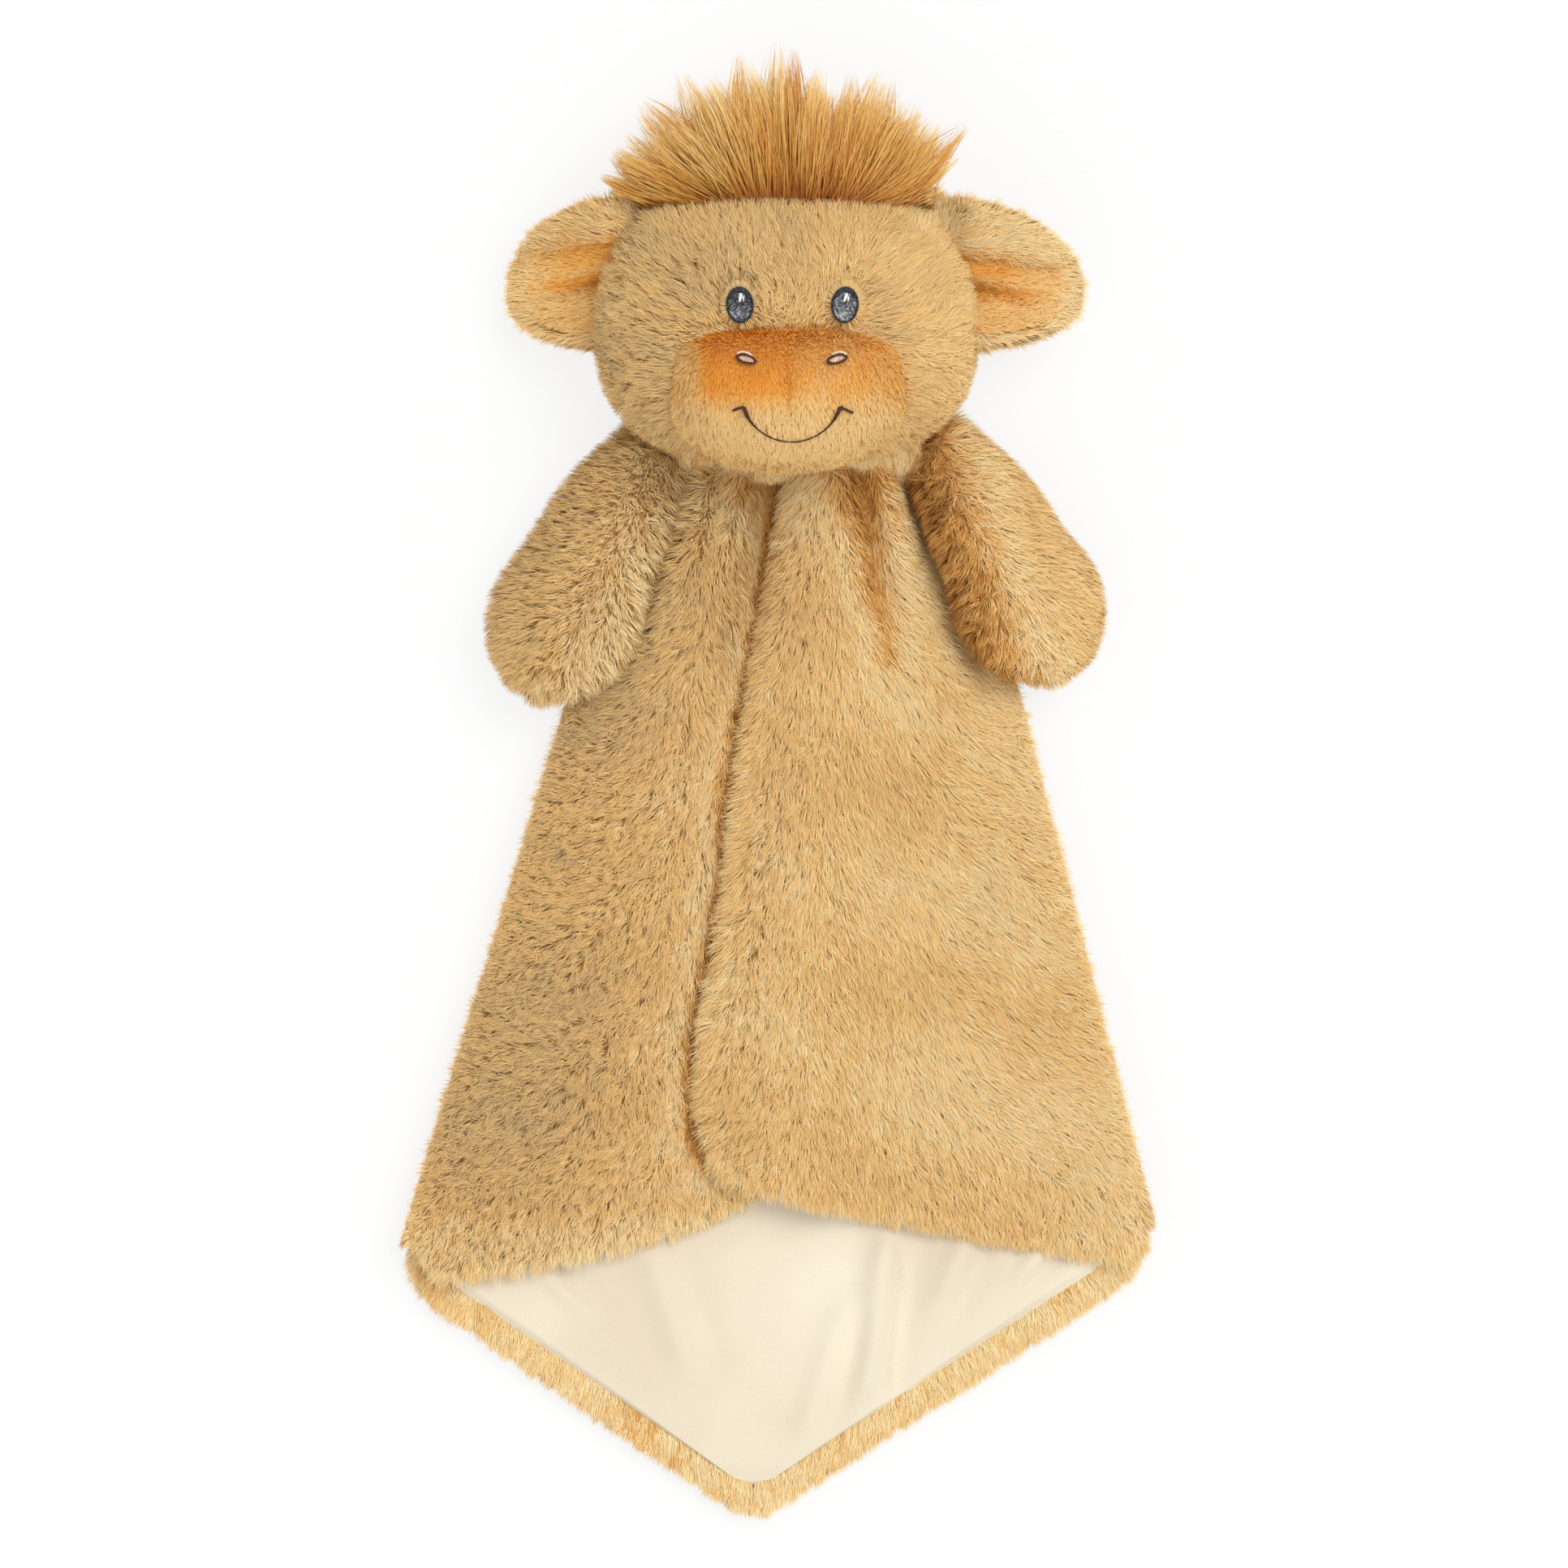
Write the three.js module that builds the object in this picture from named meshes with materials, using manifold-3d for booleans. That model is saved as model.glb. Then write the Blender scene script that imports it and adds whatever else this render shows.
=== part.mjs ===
// A baby comforter: a stuffed highland cow's head and two stuffed arms, sewn to the gathered corner
// of a square plush blanket whose side corners are folded over the front.
// Millimetres. It lies on its back: +Z is up, +Y towards the head, +X the viewer's right.
import * as THREE from "three";
import { mergeVertices } from "three/addons/utils/BufferGeometryUtils.js";
import Module from "manifold-3d";

const wasm = await Module();
wasm.setup();

// Whole object
const totalLength = 406;
const blanketWidth = 205;
const clearance = 0.3; // between pieces that touch
const restFlat = 0.5; // how deep a stuffed form is flattened where it rests
const smallestRadius = 0.5; // at the closed ends of a stuffed form

// Cloth thicknesses, pile included
const furThickness = 6; // on the head and the arms
const furUnder = 5; // back of the blanket, pressed by what lies on it
const furOver = 6.7; // front flaps, lying free
const furBetween = 4.7; // edge of the left flap, pressed by the right one
const liningThickness = 1.2;
const muzzleClothThickness = 2.5;
const threadHeight = 0.6;

// Head
const headCentreX = 3;
const headWidth = 107.6;
const topSeamWidth = 77;
const neckOpeningWidth = 42;
const headLength = 72.5;
const headWidestDrop = 36; // from the top seam down to the widest place
const headSeamHeight = 28.5; // height of the seam between face and back
const faceDepth = 31;
const faceFullestDrop = 42;
const topSeamDepth = 3;
const neckOpeningDepth = 11;
const headSquareness = 2.2;
const headTopFullness = 0.65; // powers of the swell: lower is fuller
const headNeckFullness = 0.5;

// Muzzle
const muzzleWidth = 64;
const muzzleLength = 39.4;
const muzzleRise = 24; // from its widest level to its front
const muzzleLevel = 48; // height of its widest level
const muzzleCentreDrop = 54; // from the top seam
const muzzleSquareness = 2.5;

// Hair
const hairLength = 44.5;
const hairWidth = 76.7;
const hairSeamThickness = 5;
const hairFullThickness = 25;
const hairTipThickness = 3;
const hairLocks = 11;
const hairNotch = 0.24; // how far the gaps between locks reach back
const hairFanAngle = 56; // degrees, at the outermost lock
const hairSideSpread = 0.7; // share of the fan's sideways run
const hairSideShortening = 0.56;
const hairSideThinning = 0.35;

// Embroidery
const eyeSpacing = 28.8;
const eyeDrop = 28.8; // from the top seam
const eyeWidth = 7.6;
const eyeHeight = 10;
const eyeTilt = 5; // degrees
const eyeRim = 0.9;
const highlightWidth = 2;
const highlightHeight = 3.2;
const highlightRise = 1.9;
const nostrilSpacing = 24.9;
const nostrilDrop = 43.8;
const nostrilWidth = 6;
const nostrilHeight = 2.8;
const nostrilRim = 0.7;
const nostrilTilt = 14; // degrees
const mouthRadius = 14.1;
const mouthSpan = 138; // degrees of arc
const mouthDrop = 66.5; // lowest point of the smile
const mouthStroke = 0.9;
const mouthTick = 3; // short stroke at each end of the smile

// Ears
const earLength = 41;
const earWidth = 43;
const earDrop = 21; // root's middle below the top seam
const earRootInset = 13; // from the head's widest line towards its middle
const earDroop = 4; // how much lower the tip lies than the root
const earCup = 7; // how far the edges curl forward
const earSquareness = 2.3;
const earFurThickness = 5;
const earLiningThickness = 1.5;
const earLiningBorder = 4;
const earLeftLayback = 28; // degrees that the tip lies back from the seam's level
const earRightLayback = 8;
const earFoldLimits = { left: [-5, 60], right: [-20, 60] }; // degrees
const earHingeInset = 1.5; // from the head's widest line
const earHingeRise = 1; // above the head's seam
const earHingeSlope = 0.25; // sideways run for each unit down

// Arms
const handWidth = 42;
const elbowWidth = 35;
const shoulderWidth = 24;
const armThickness = 28;
// Plan points: X, and how far above the head's neck end, or below it where negative.
const armShoulder = { left: [-31, 7], right: [42, 8] };
const armElbow = { left: [-50, -22], right: [61.5, -19] };
const armEnd = { left: [-69, -66.2], right: [80.5, -61.5] };
const armPivotAlong = -3; // from the shoulder end, along the arm
const armPivotHeight = 27;
const armLean = 7; // how much higher the side that lies on the blanket is
const armLiftLimit = 45; // degrees
// Shares of it at which the shoulder is cut free; past 1, for the head nods over a lifted arm.
const armLiftStops = [0.09, 0.18, 0.3, 0.5, 0.8, 1.2, 1.55];
const shoulderFullness = 0.82; // its share of the full thickness
const armSwellEnd = 0.42; // share of the arm's length after which it has that thickness

// Blanket, plan view. Points near the neck are given as X, and how far above the head's neck end.
const neckEndRise = 9;
const neckEdgeX = { left: -29, right: 40 };
const sideBend = { left: [-57, -66], right: [65, -61] };
const cornerRise = { left: 76, right: 81 }; // above the blanket's tip
const cornerRadius = 13;
const cornerSpread = 2.8; // what the rounding takes off the corner's reach
const tipX = -6.6;
const tipRadius = 7;
const fringe = 7; // fur that shows beyond the lining
const edgeRound = 1.6; // rounding of the underside's edge

// Folded front, plan view
const foldInset = 0.6; // flaps end this far inside the fold line
const edgeTop = { left: [10, -2], right: [4, -2] }; // X, and above the neck end
const edgeMid = { left: [3, -62], right: [-6, -62] };
const edgeLow = { left: [1, 42], right: [-20, 34] }; // X, and above the side corner
const innerCorner = { left: [0, 17], right: [-16.5, 14.5] };
const hemMid = { left: [-42, 0], right: [21, 4.5] };
const outerCornerInset = { left: 9.5, right: 7.5 }; // from the blanket's side corner
const outerCornerDrop = 9;
const flapStart = { left: 8, right: 7 }; // loose part begins this far below the side bend

// Folded front, heights
const gatherSwell = 13; // extra fullness of the gathers at the neck
const gatherSwellOver = 6.5; // and of the right side's, which lies on the left's
const foldRound = 7; // rounding beside the fold
const armRest = 7; // flat band beside the fold on which an arm lies
const gatherRise = 9; // width over which the gathers swell up beside that band
const edgeSoftness = 5; // rounding of the loose edges
const edgeThickness = 2; // of the fur at its rounded edges
const gatherEdgeRound = 16; // rounding of the gathers beside the loose edge
const pressedBand = 1; // pressed all the way, beside the right flap's edge
const pressedRise = 14; // and from there up to its free thickness
const swellStart = -88; // where the gathers begin to swell, from the neck end
const overlapSlope = 16; // width over which the right flap climbs onto the left one
const overlapLevelBand = 8; // how far past the left edge it stays level
const pleatDepth = 9;
const pleatHalfWidth = 6;
const pleatReach = 62; // how far the pleats run down from the neck
const pleatLeftX = -14; // at the neck
const pleatInnerX = 22.9;
const pleatOuterX = 33;
const pleatLeftDrift = -7; // sideways, from its top to its end
const pleatInnerDrift = 8;
const pleatOuterDrift = 13;
const gatherPleats = {
  left: [{ top: pleatLeftX, drift: pleatLeftDrift }],
  right: [
    { top: pleatInnerX, drift: pleatInnerDrift },
    { top: pleatOuterX, drift: pleatOuterDrift },
  ],
};

// Facets
const headOuterGrid = { rings: 15, sides: 28 };
const headInnerGrid = { rings: 10, sides: 18 };
const muzzleOuterGrid = { rings: 10, sides: 24 };
const muzzleInnerGrid = { rings: 8, sides: 16 };
const armOuterGrid = { rings: 12, sides: 18 };
const armInnerGrid = { rings: 8, sides: 12 };
const earColumns = 5;
const earRows = 8;

// Levels of the layers, from the surface up
const backLiningBase = furUnder + clearance;
const flapLiningBase = backLiningBase + liningThickness + clearance;
const flapFurBase = flapLiningBase + liningThickness + clearance;
const frontLevel = flapFurBase + furOver;
const pressedLevel = flapFurBase + furBetween;
const overLiningBase = pressedLevel + clearance;
const overFurBase = overLiningBase + liningThickness + clearance;
const overLevel = overFurBase + furOver;

// Levels along the length
const headTopY = totalLength / 2 - hairLength;
const headBottomY = headTopY - headLength;
const tipY = -totalLength / 2;
const fromNeck = ([x, rise]) => [x, headBottomY + rise];
const neckY = fromNeck(edgeTop.right)[1];
const neckEndY = headBottomY + neckEndRise;

const radians = THREE.MathUtils.degToRad;
const sides = ["left", "right"];
const signOf = { left: -1, right: 1 };
const bySide = (value) => ({ left: value("left"), right: value("right") });
const cornerY = bySide((side) => tipY + cornerRise[side]);
const fromCorner = (side, [x, rise]) => [x, cornerY[side] + rise];
const outerCorner = bySide((side) => [
  signOf[side] * (blanketWidth / 2 - outerCornerInset[side]),
  cornerY[side] - outerCornerDrop,
]);

// Solids

function facingOut(positions, index) {
  let volume = 0;
  const a = new THREE.Vector3();
  const b = new THREE.Vector3();
  const c = new THREE.Vector3();
  for (let i = 0; i < index.length; i += 3) {
    a.fromArray(positions, index[i] * 3);
    b.fromArray(positions, index[i + 1] * 3);
    c.fromArray(positions, index[i + 2] * 3);
    volume += a.dot(b.cross(c));
  }
  if (volume > 0) return index;
  return index.map((_, i) => index[i - (i % 3) + [0, 2, 1][i % 3]]);
}

function meshGeometry(positions, index) {
  const geometry = new THREE.BufferGeometry();
  geometry.setAttribute("position", new THREE.Float32BufferAttribute(positions, 3));
  geometry.setIndex(facingOut(positions, index));
  return geometry;
}

function toSolid(geometry) {
  const bare = geometry.clone();
  bare.deleteAttribute("normal");
  bare.deleteAttribute("uv");
  const merged = mergeVertices(bare, 1e-4);
  return new wasm.Manifold(
    new wasm.Mesh({
      numProp: 3,
      vertProperties: new Float32Array(merged.attributes.position.array),
      triVerts: new Uint32Array(merged.index.array),
    }),
  );
}

// A cut can leave crumbs beside the piece: the piece is the largest body.
function mainBody(solid) {
  const bodies = solid.decompose();
  return bodies.reduce((best, body) => (body.volume() > best.volume() ? body : best));
}

function toGeometry(solid) {
  const mesh = mainBody(solid).getMesh();
  const geometry = new THREE.BufferGeometry();
  geometry.setAttribute("position", new THREE.BufferAttribute(new Float32Array(mesh.vertProperties), 3));
  geometry.setIndex(new THREE.BufferAttribute(new Uint32Array(mesh.triVerts), 1));
  geometry.computeVertexNormals();
  return geometry;
}

// Closed loft through rings of equal count, capped at both ends.
function loft(rings) {
  const count = rings[0].length;
  const positions = rings.flat(2);
  const index = [];
  for (let r = 0; r < rings.length - 1; r += 1) {
    for (let k = 0; k < count; k += 1) {
      const a = r * count + k;
      const b = r * count + ((k + 1) % count);
      index.push(a, b, a + count, b, b + count, a + count);
    }
  }
  const centre = (ring) => [0, 1, 2].map((i) => ring.reduce((sum, p) => sum + p[i], 0) / count);
  const first = positions.length / 3;
  positions.push(...centre(rings[0]), ...centre(rings[rings.length - 1]));
  const lastRing = (rings.length - 1) * count;
  for (let k = 0; k < count; k += 1) {
    const next = (k + 1) % count;
    index.push(next, k, first);
    index.push(lastRing + k, lastRing + next, first + 1);
  }
  return meshGeometry(positions, index);
}

// Closed slab between two surfaces given on the same grid of parameters.
function slab(columns, rows, lower, upper) {
  const positions = [];
  for (const surface of [lower, upper]) {
    for (const v of rows) {
      for (const u of columns) positions.push(...surface(u, v));
    }
  }
  const nu = columns.length;
  const nv = rows.length;
  const top = nu * nv;
  const index = [];
  const quad = (a, b, c, d) => index.push(a, b, c, a, c, d);
  for (let j = 0; j < nv - 1; j += 1) {
    for (let i = 0; i < nu - 1; i += 1) {
      const a = j * nu + i;
      quad(a, a + nu, a + nu + 1, a + 1);
      quad(top + a, top + a + 1, top + a + nu + 1, top + a + nu);
    }
  }
  const rim = [];
  for (let i = 0; i < nu - 1; i += 1) rim.push(i);
  for (let j = 0; j < nv - 1; j += 1) rim.push(j * nu + nu - 1);
  for (let i = nu - 1; i > 0; i -= 1) rim.push((nv - 1) * nu + i);
  for (let j = nv - 1; j > 0; j -= 1) rim.push(j * nu);
  rim.forEach((a, k) => {
    const b = rim[(k + 1) % rim.length];
    quad(a, b, top + b, top + a);
  });
  return meshGeometry(positions, index);
}

const evenly = (count) => Array.from({ length: count + 1 }, (_, i) => i / count);

function boxSolid(low, high) {
  const size = high.map((value, i) => value - low[i]);
  const geometry = new THREE.BoxGeometry(...size);
  geometry.translate(...low.map((value, i) => value + size[i] / 2));
  return toSolid(geometry);
}

const farAway = totalLength;
const aboveLevel = (z) => boxSolid([-farAway, -farAway, z], [farAway, farAway, farAway]);
const rightOf = (x) => boxSolid([x, -farAway, -farAway], [farAway, farAway, farAway]);

// A solid turned about a line, by degrees.
function turned(solid, point, axis, degrees) {
  const [x, y, z] = point;
  const axisUnit = new THREE.Vector3(...axis).normalize();
  const matrix = new THREE.Matrix4()
    .makeTranslation(x, y, z)
    .multiply(new THREE.Matrix4().makeRotationAxis(axisUnit, radians(degrees)))
    .multiply(new THREE.Matrix4().makeTranslation(-x, -y, -z));
  return solid.transform(matrix.toArray());
}

const superellipse = (share, squareness) =>
  Math.pow(Math.max(0, 1 - Math.pow(Math.abs(share), squareness)), 1 / squareness);

const bend = (value, power) => Math.sign(value) * Math.pow(Math.abs(value), power);

const smooth = (value) => THREE.MathUtils.smoothstep(value, 0, 1);

// Head

const headWidestY = headTopY - headWidestDrop;
const faceFullestY = headTopY - faceFullestDrop;
const backDepth = headSeamHeight + restFlat;

// Swells from an end value to a full value and back to another end value along Y.
function headSwell(y, fullestY, full, atTop, atBottom) {
  if (y > fullestY) {
    const rise = (y - fullestY) / (headTopY - fullestY);
    return atTop + (full - atTop) * Math.pow(1 - rise ** 2, headTopFullness);
  }
  const drop = (fullestY - y) / (fullestY - headBottomY);
  return atBottom + (full - atBottom) * Math.pow(1 - drop ** 2.4, headNeckFullness);
}

// The stuffed head, grown outwards by a distance, or shrunk by a negative one.
function headSolid(grow, { rings: steps, sides: count } = headOuterGrid) {
  const middle = (headTopY + headBottomY) / 2;
  const half = headLength / 2;
  const rings = evenly(steps).map((share) => {
    const along = -Math.cos(share * Math.PI);
    const y = middle + half * along;
    const width = headSwell(y, headWidestY, headWidth / 2, topSeamWidth / 2, neckOpeningWidth / 2) + grow;
    const front = headSwell(y, faceFullestY, faceDepth, topSeamDepth, neckOpeningDepth) + grow;
    const back = headSwell(y, faceFullestY, backDepth, topSeamDepth, neckOpeningDepth) + grow;
    return Array.from({ length: count }, (_, k) => {
      const angle = (k / count) * 2 * Math.PI;
      const across = bend(Math.cos(angle), 2 / headSquareness);
      const lift = bend(Math.sin(angle), 2 / headSquareness);
      return [
        headCentreX + Math.max(width, smallestRadius) * across,
        y + grow * along,
        headSeamHeight + Math.max(lift > 0 ? front : back, smallestRadius) * lift,
      ];
    });
  });
  return toSolid(loft(rings));
}

// The muzzle's rounded cushion, of which only the front stands out of the face.
function muzzleSolid(grow, { rings: steps, sides: count } = muzzleOuterGrid) {
  const centreY = headTopY - muzzleCentreDrop;
  const rings = evenly(steps).map((share) => {
    const tilt = (share * 0.98 + 0.01 - 0.5) * Math.PI;
    const reach = Math.pow(Math.cos(tilt), 2 / headSquareness);
    const lift = bend(Math.sin(tilt), 2 / headSquareness);
    return Array.from({ length: count }, (_, k) => {
      const angle = (k / count) * 2 * Math.PI;
      return [
        headCentreX + (muzzleWidth / 2 + grow) * reach * bend(Math.cos(angle), 2 / muzzleSquareness),
        centreY + (muzzleLength / 2 + grow) * reach * bend(Math.sin(angle), 2 / muzzleSquareness),
        muzzleLevel + (muzzleRise + grow) * lift,
      ];
    });
  });
  return toSolid(loft(rings));
}

const headOuter = headSolid(0);
const headInner = headSolid(-furThickness, headInnerGrid);
const muzzleInner = muzzleSolid(-muzzleClothThickness, muzzleInnerGrid);
const headAndMuzzleGrown = headSolid(clearance).add(muzzleSolid(clearance));

const headShell = headOuter.subtract(headInner).subtract(muzzleSolid(clearance));
const headFaceSkin = headShell.intersect(aboveLevel(headSeamHeight + clearance / 2));
const headBackSkin = headShell
  .subtract(aboveLevel(headSeamHeight - clearance / 2))
  .intersect(aboveLevel(0));
const headStuffing = headSolid(-furThickness - clearance, headInnerGrid).add(
  muzzleSolid(-muzzleClothThickness - clearance, muzzleInnerGrid).intersect(aboveLevel(headSeamHeight)),
);

const muzzleShell = muzzleSolid(0).subtract(muzzleInner).subtract(headInner)
  .intersect(aboveLevel(headSeamHeight + clearance));
const muzzlePanels = {
  left: muzzleShell.subtract(rightOf(headCentreX - clearance / 2)),
  right: muzzleShell.intersect(rightOf(headCentreX + clearance / 2)),
};

// Embroidery: a flat outline pressed onto the swelling surface as a thin raised layer.

function pillar(outline) {
  const shape = new THREE.Shape(outline.map(([x, y]) => new THREE.Vector2(x, y)));
  const geometry = new THREE.ExtrudeGeometry(shape, { depth: farAway, bevelEnabled: false, steps: 1 });
  geometry.translate(0, 0, headSeamHeight + 1);
  return toSolid(geometry);
}

function ellipseOutline(centre, width, height, tilt, points = 20) {
  return Array.from({ length: points }, (_, k) => {
    const angle = (k / points) * 2 * Math.PI;
    const x = (width / 2) * Math.cos(angle);
    const y = (height / 2) * Math.sin(angle);
    const c = Math.cos(radians(tilt));
    const s = Math.sin(radians(tilt));
    return [centre[0] + c * x - s * y, centre[1] + s * x + c * y];
  });
}

const layerOn = (form, lift) => form(clearance + lift).subtract(form(clearance));
const faceThread = layerOn(headSolid, threadHeight).subtract(muzzleSolid(clearance));
const muzzleThread = layerOn(muzzleSolid, threadHeight);

function eyeThreads(side) {
  const centre = [headCentreX + 1.2 + (signOf[side] * eyeSpacing) / 2, headTopY - eyeDrop];
  const tilt = -signOf[side] * eyeTilt;
  const light = [centre[0], centre[1] + highlightRise];
  const ellipse = (less, points) =>
    pillar(ellipseOutline(centre, eyeWidth - 2 * less, eyeHeight - 2 * less, tilt, points));
  const lightPillar = (more) =>
    pillar(ellipseOutline(light, highlightWidth + 2 * more, highlightHeight + 2 * more, tilt, 12));
  return {
    outline: faceThread.intersect(ellipse(0)).subtract(ellipse(eyeRim)),
    iris: faceThread.intersect(ellipse(eyeRim + clearance)).subtract(lightPillar(clearance)),
    highlight: faceThread.intersect(lightPillar(0)),
  };
}

function nostrilThread(side) {
  const centre = [headCentreX + 1 + (signOf[side] * nostrilSpacing) / 2, headTopY - nostrilDrop];
  const tilt = signOf[side] * nostrilTilt;
  const ring = (less) => pillar(
    ellipseOutline(centre, nostrilWidth - 2 * less, nostrilHeight - 2 * less, tilt, 16),
  );
  return muzzleThread.intersect(ring(0)).subtract(ring(nostrilRim));
}

// The smile: an arc of stroke width, with a short outward stroke at each end.
function mouthThread() {
  const centreY = headTopY - mouthDrop + mouthRadius;
  const steps = evenly(14).map((share) => radians(-90 + (share - 0.5) * mouthSpan));
  const at = (radius, angle) => [
    headCentreX + 1 + radius * Math.cos(angle),
    centreY + radius * Math.sin(angle),
  ];
  const outer = mouthRadius + mouthStroke / 2;
  const inner = mouthRadius - mouthStroke / 2;
  const arc = pillar([
    ...steps.map((angle) => at(outer, angle)),
    ...[...steps].reverse().map((angle) => at(inner, angle)),
  ]);
  const tickAt = (angle, lean) => {
    const [x, y] = at(mouthRadius, angle);
    return pillar(ellipseOutline([x, y], mouthTick, mouthStroke, lean, 8));
  };
  const ends = [steps[0], steps[steps.length - 1]];
  const ticks = tickAt(ends[0], 20).add(tickAt(ends[1], -20));
  return muzzleThread.intersect(arc.add(ticks));
}

// Ears: a cupped leaf of fur cloth, its lining laid in the cup.

const earRoot = (side) => [
  headCentreX + signOf[side] * (headWidth / 2 - earRootInset),
  headTopY - earDrop,
  headSeamHeight,
];

function earLayer(side, border, base, thickness) {
  const length = earLength - border;
  const halfWidth = earWidth / 2 - border;
  const spot = (u, v, lift) => {
    const reach = length * superellipse(v, earSquareness) * u;
    const along = reach / earLength;
    const curl = earCup * Math.abs(v) ** 1.6 * (1 - 0.6 * along);
    return [
      signOf[side] * reach,
      halfWidth * v * (1 - 0.12 * along) - earDroop * along ** 2,
      curl + lift,
    ];
  };
  const rows = evenly(earRows).map((share) => (share * 2 - 1) * 0.97);
  const geometry = slab(
    evenly(earColumns),
    rows,
    (u, v) => spot(u, v, base),
    (u, v) => spot(u, v, base + thickness),
  );
  const layback = side === "left" ? earLeftLayback : earRightLayback;
  geometry.rotateY(signOf[side] * radians(layback));
  geometry.translate(...earRoot(side));
  return toSolid(geometry);
}

// The ear turns on a line beside the head's widest place; a positive turn folds it forward.
const earHinge = (side) => ({
  point: [
    headCentreX + signOf[side] * (headWidth / 2 - earHingeInset),
    headTopY - earDrop,
    headSeamHeight + earHingeRise,
  ],
  axis: [earHingeSlope, -signOf[side], 0],
});

function earPieces(side) {
  const { point, axis } = earHinge(side);
  const [back, front] = earFoldLimits[side];
  const headRoom = headSolid(clearance)
    .add(turned(headSolid(clearance * 2), point, axis, -back))
    .add(turned(headSolid(clearance * 2), point, axis, -front / 2))
    .add(turned(headSolid(clearance * 2), point, axis, -front));
  return {
    outer: earLayer(side, 0, -earFurThickness, earFurThickness).subtract(headRoom),
    lining: earLayer(side, earLiningBorder, clearance, earLiningThickness).subtract(headRoom),
  };
}

// Hair: a fan of locks that stands out of the top seam.

function hairSolid() {
  const columns = evenly(hairLocks * 4).map((share) => share * 2 - 1);
  const rows = [0, 0.15, 0.4, 0.7, 1];
  const spot = (u, v, face) => {
    const lock = Math.abs((((u + 1) / 2) * hairLocks) % 1 * 2 - 1);
    const length = hairLength * (1 - hairSideShortening * u * u) * (1 - hairNotch * lock);
    const lean = radians(hairFanAngle) * bend(u, 1.6);
    const swell = Math.sin(Math.PI * Math.min(1, v * 0.8 + 0.08)) * (1 - 0.25 * lock * v);
    const ends = hairSeamThickness + (hairTipThickness - hairSeamThickness) * v;
    const thickness = ends + (hairFullThickness - ends) * swell * (1 - hairSideThinning * u * u);
    const reach = (length - clearance) * v;
    return [
      headCentreX + (hairWidth / 2) * u + reach * Math.sin(lean) * hairSideSpread,
      headTopY + clearance + reach * Math.cos(lean),
      headSeamHeight + (face * thickness) / 2,
    ];
  };
  return toSolid(slab(columns, rows, (u, v) => spot(u, v, -1), (u, v) => spot(u, v, 1)));
}

// Blanket

// Outline of the half that lies underneath, drawn in by an inset.
function backOutline(inset) {
  const half = blanketWidth / 2 - inset;
  const shape = new THREE.Shape();
  const corner = (side) => [signOf[side] * half, cornerY[side] + inset / 2];
  const [leftX, leftY] = corner("left");
  const [rightX, rightY] = corner("right");
  const tipSlope = (cornerY.left - tipY) / Math.hypot(half, cornerY.left - tipY);
  const tip = [tipX, tipY - (tipRadius * tipSlope) / 2 + inset * 1.25];
  const towards = (from, to, distance) => {
    const length = Math.hypot(to[0] - from[0], to[1] - from[1]);
    return from.map((value, i) => value + ((to[i] - value) * distance) / length);
  };
  const roundTo = (before, at, after, radius) => {
    shape.lineTo(...towards(at, before, radius));
    shape.quadraticCurveTo(...at, ...towards(at, after, radius));
  };
  // The rounded corner's outermost point stays on the full width.
  const leftCornerPoint = [leftX - cornerSpread, leftY - cornerRadius * 0.8];
  const rightCornerPoint = [rightX + cornerSpread, rightY - cornerRadius * 0.8];
  shape.moveTo(neckEdgeX.left + inset, neckEndY);
  const [leftBend, rightBend] = sides.map((side) => fromNeck(sideBend[side]));
  shape.lineTo(leftBend[0] + inset, leftBend[1]);
  roundTo([leftBend[0] + inset, leftBend[1]], leftCornerPoint, tip, cornerRadius);
  roundTo(leftCornerPoint, tip, rightCornerPoint, tipRadius);
  roundTo(tip, rightCornerPoint, [rightBend[0] - inset, rightBend[1]], cornerRadius);
  shape.lineTo(rightBend[0] - inset, rightBend[1]);
  shape.lineTo(neckEdgeX.right - inset, neckEndY);
  shape.closePath();
  return shape;
}

function backSheet(inset, base, thickness, round) {
  const geometry = new THREE.ExtrudeGeometry(backOutline(inset + round), {
    depth: thickness - 2 * round,
    bevelEnabled: round > 0,
    bevelThickness: round,
    bevelSize: round,
    bevelSegments: 2,
    curveSegments: 5,
    steps: 1,
  });
  geometry.translate(0, 0, base + round);
  return toSolid(geometry);
}

// Plan curves that bound the folded front: the fold line, the loose edge and the hem.

const between = (a, b, share) => a.map((value, i) => value + (b[i] - value) * share);

function foldLine(side) {
  const inward = -signOf[side] * foldInset;
  const [bendX, bendY] = fromNeck(sideBend[side]);
  const bendPoint = [bendX + inward, bendY];
  const top = [neckEdgeX[side] + inward, neckEndY];
  const low = [signOf[side] * (blanketWidth / 2 - foldInset - 0.6), cornerY[side] + cornerRadius * 0.2];
  return { top, bendPoint, low };
}

// The line across which the loose flap begins, square to its fold.
function flapBreak(side, shift) {
  const { bendPoint, low } = foldLine(side);
  const length = Math.hypot(low[0] - bendPoint[0], low[1] - bendPoint[1]);
  const down = low.map((value, i) => (value - bendPoint[i]) / length);
  const outer = bendPoint.map((value, i) => value + down[i] * (flapStart[side] + shift));
  const across = [-signOf[side] * Math.abs(down[1]), -Math.abs(down[0])];
  return { outer, across, down };
}

const edgeCurve = bySide((side) => {
  const mid = fromNeck(edgeMid[side]);
  const low = fromCorner(side, edgeLow[side]);
  const points = [fromNeck(edgeTop[side]), mid, between(mid, low, 0.5), low];
  points.push(fromCorner(side, innerCorner[side]));
  return new THREE.CatmullRomCurve3(points.map(([x, y]) => new THREE.Vector3(x, y, 0)));
});

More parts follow.
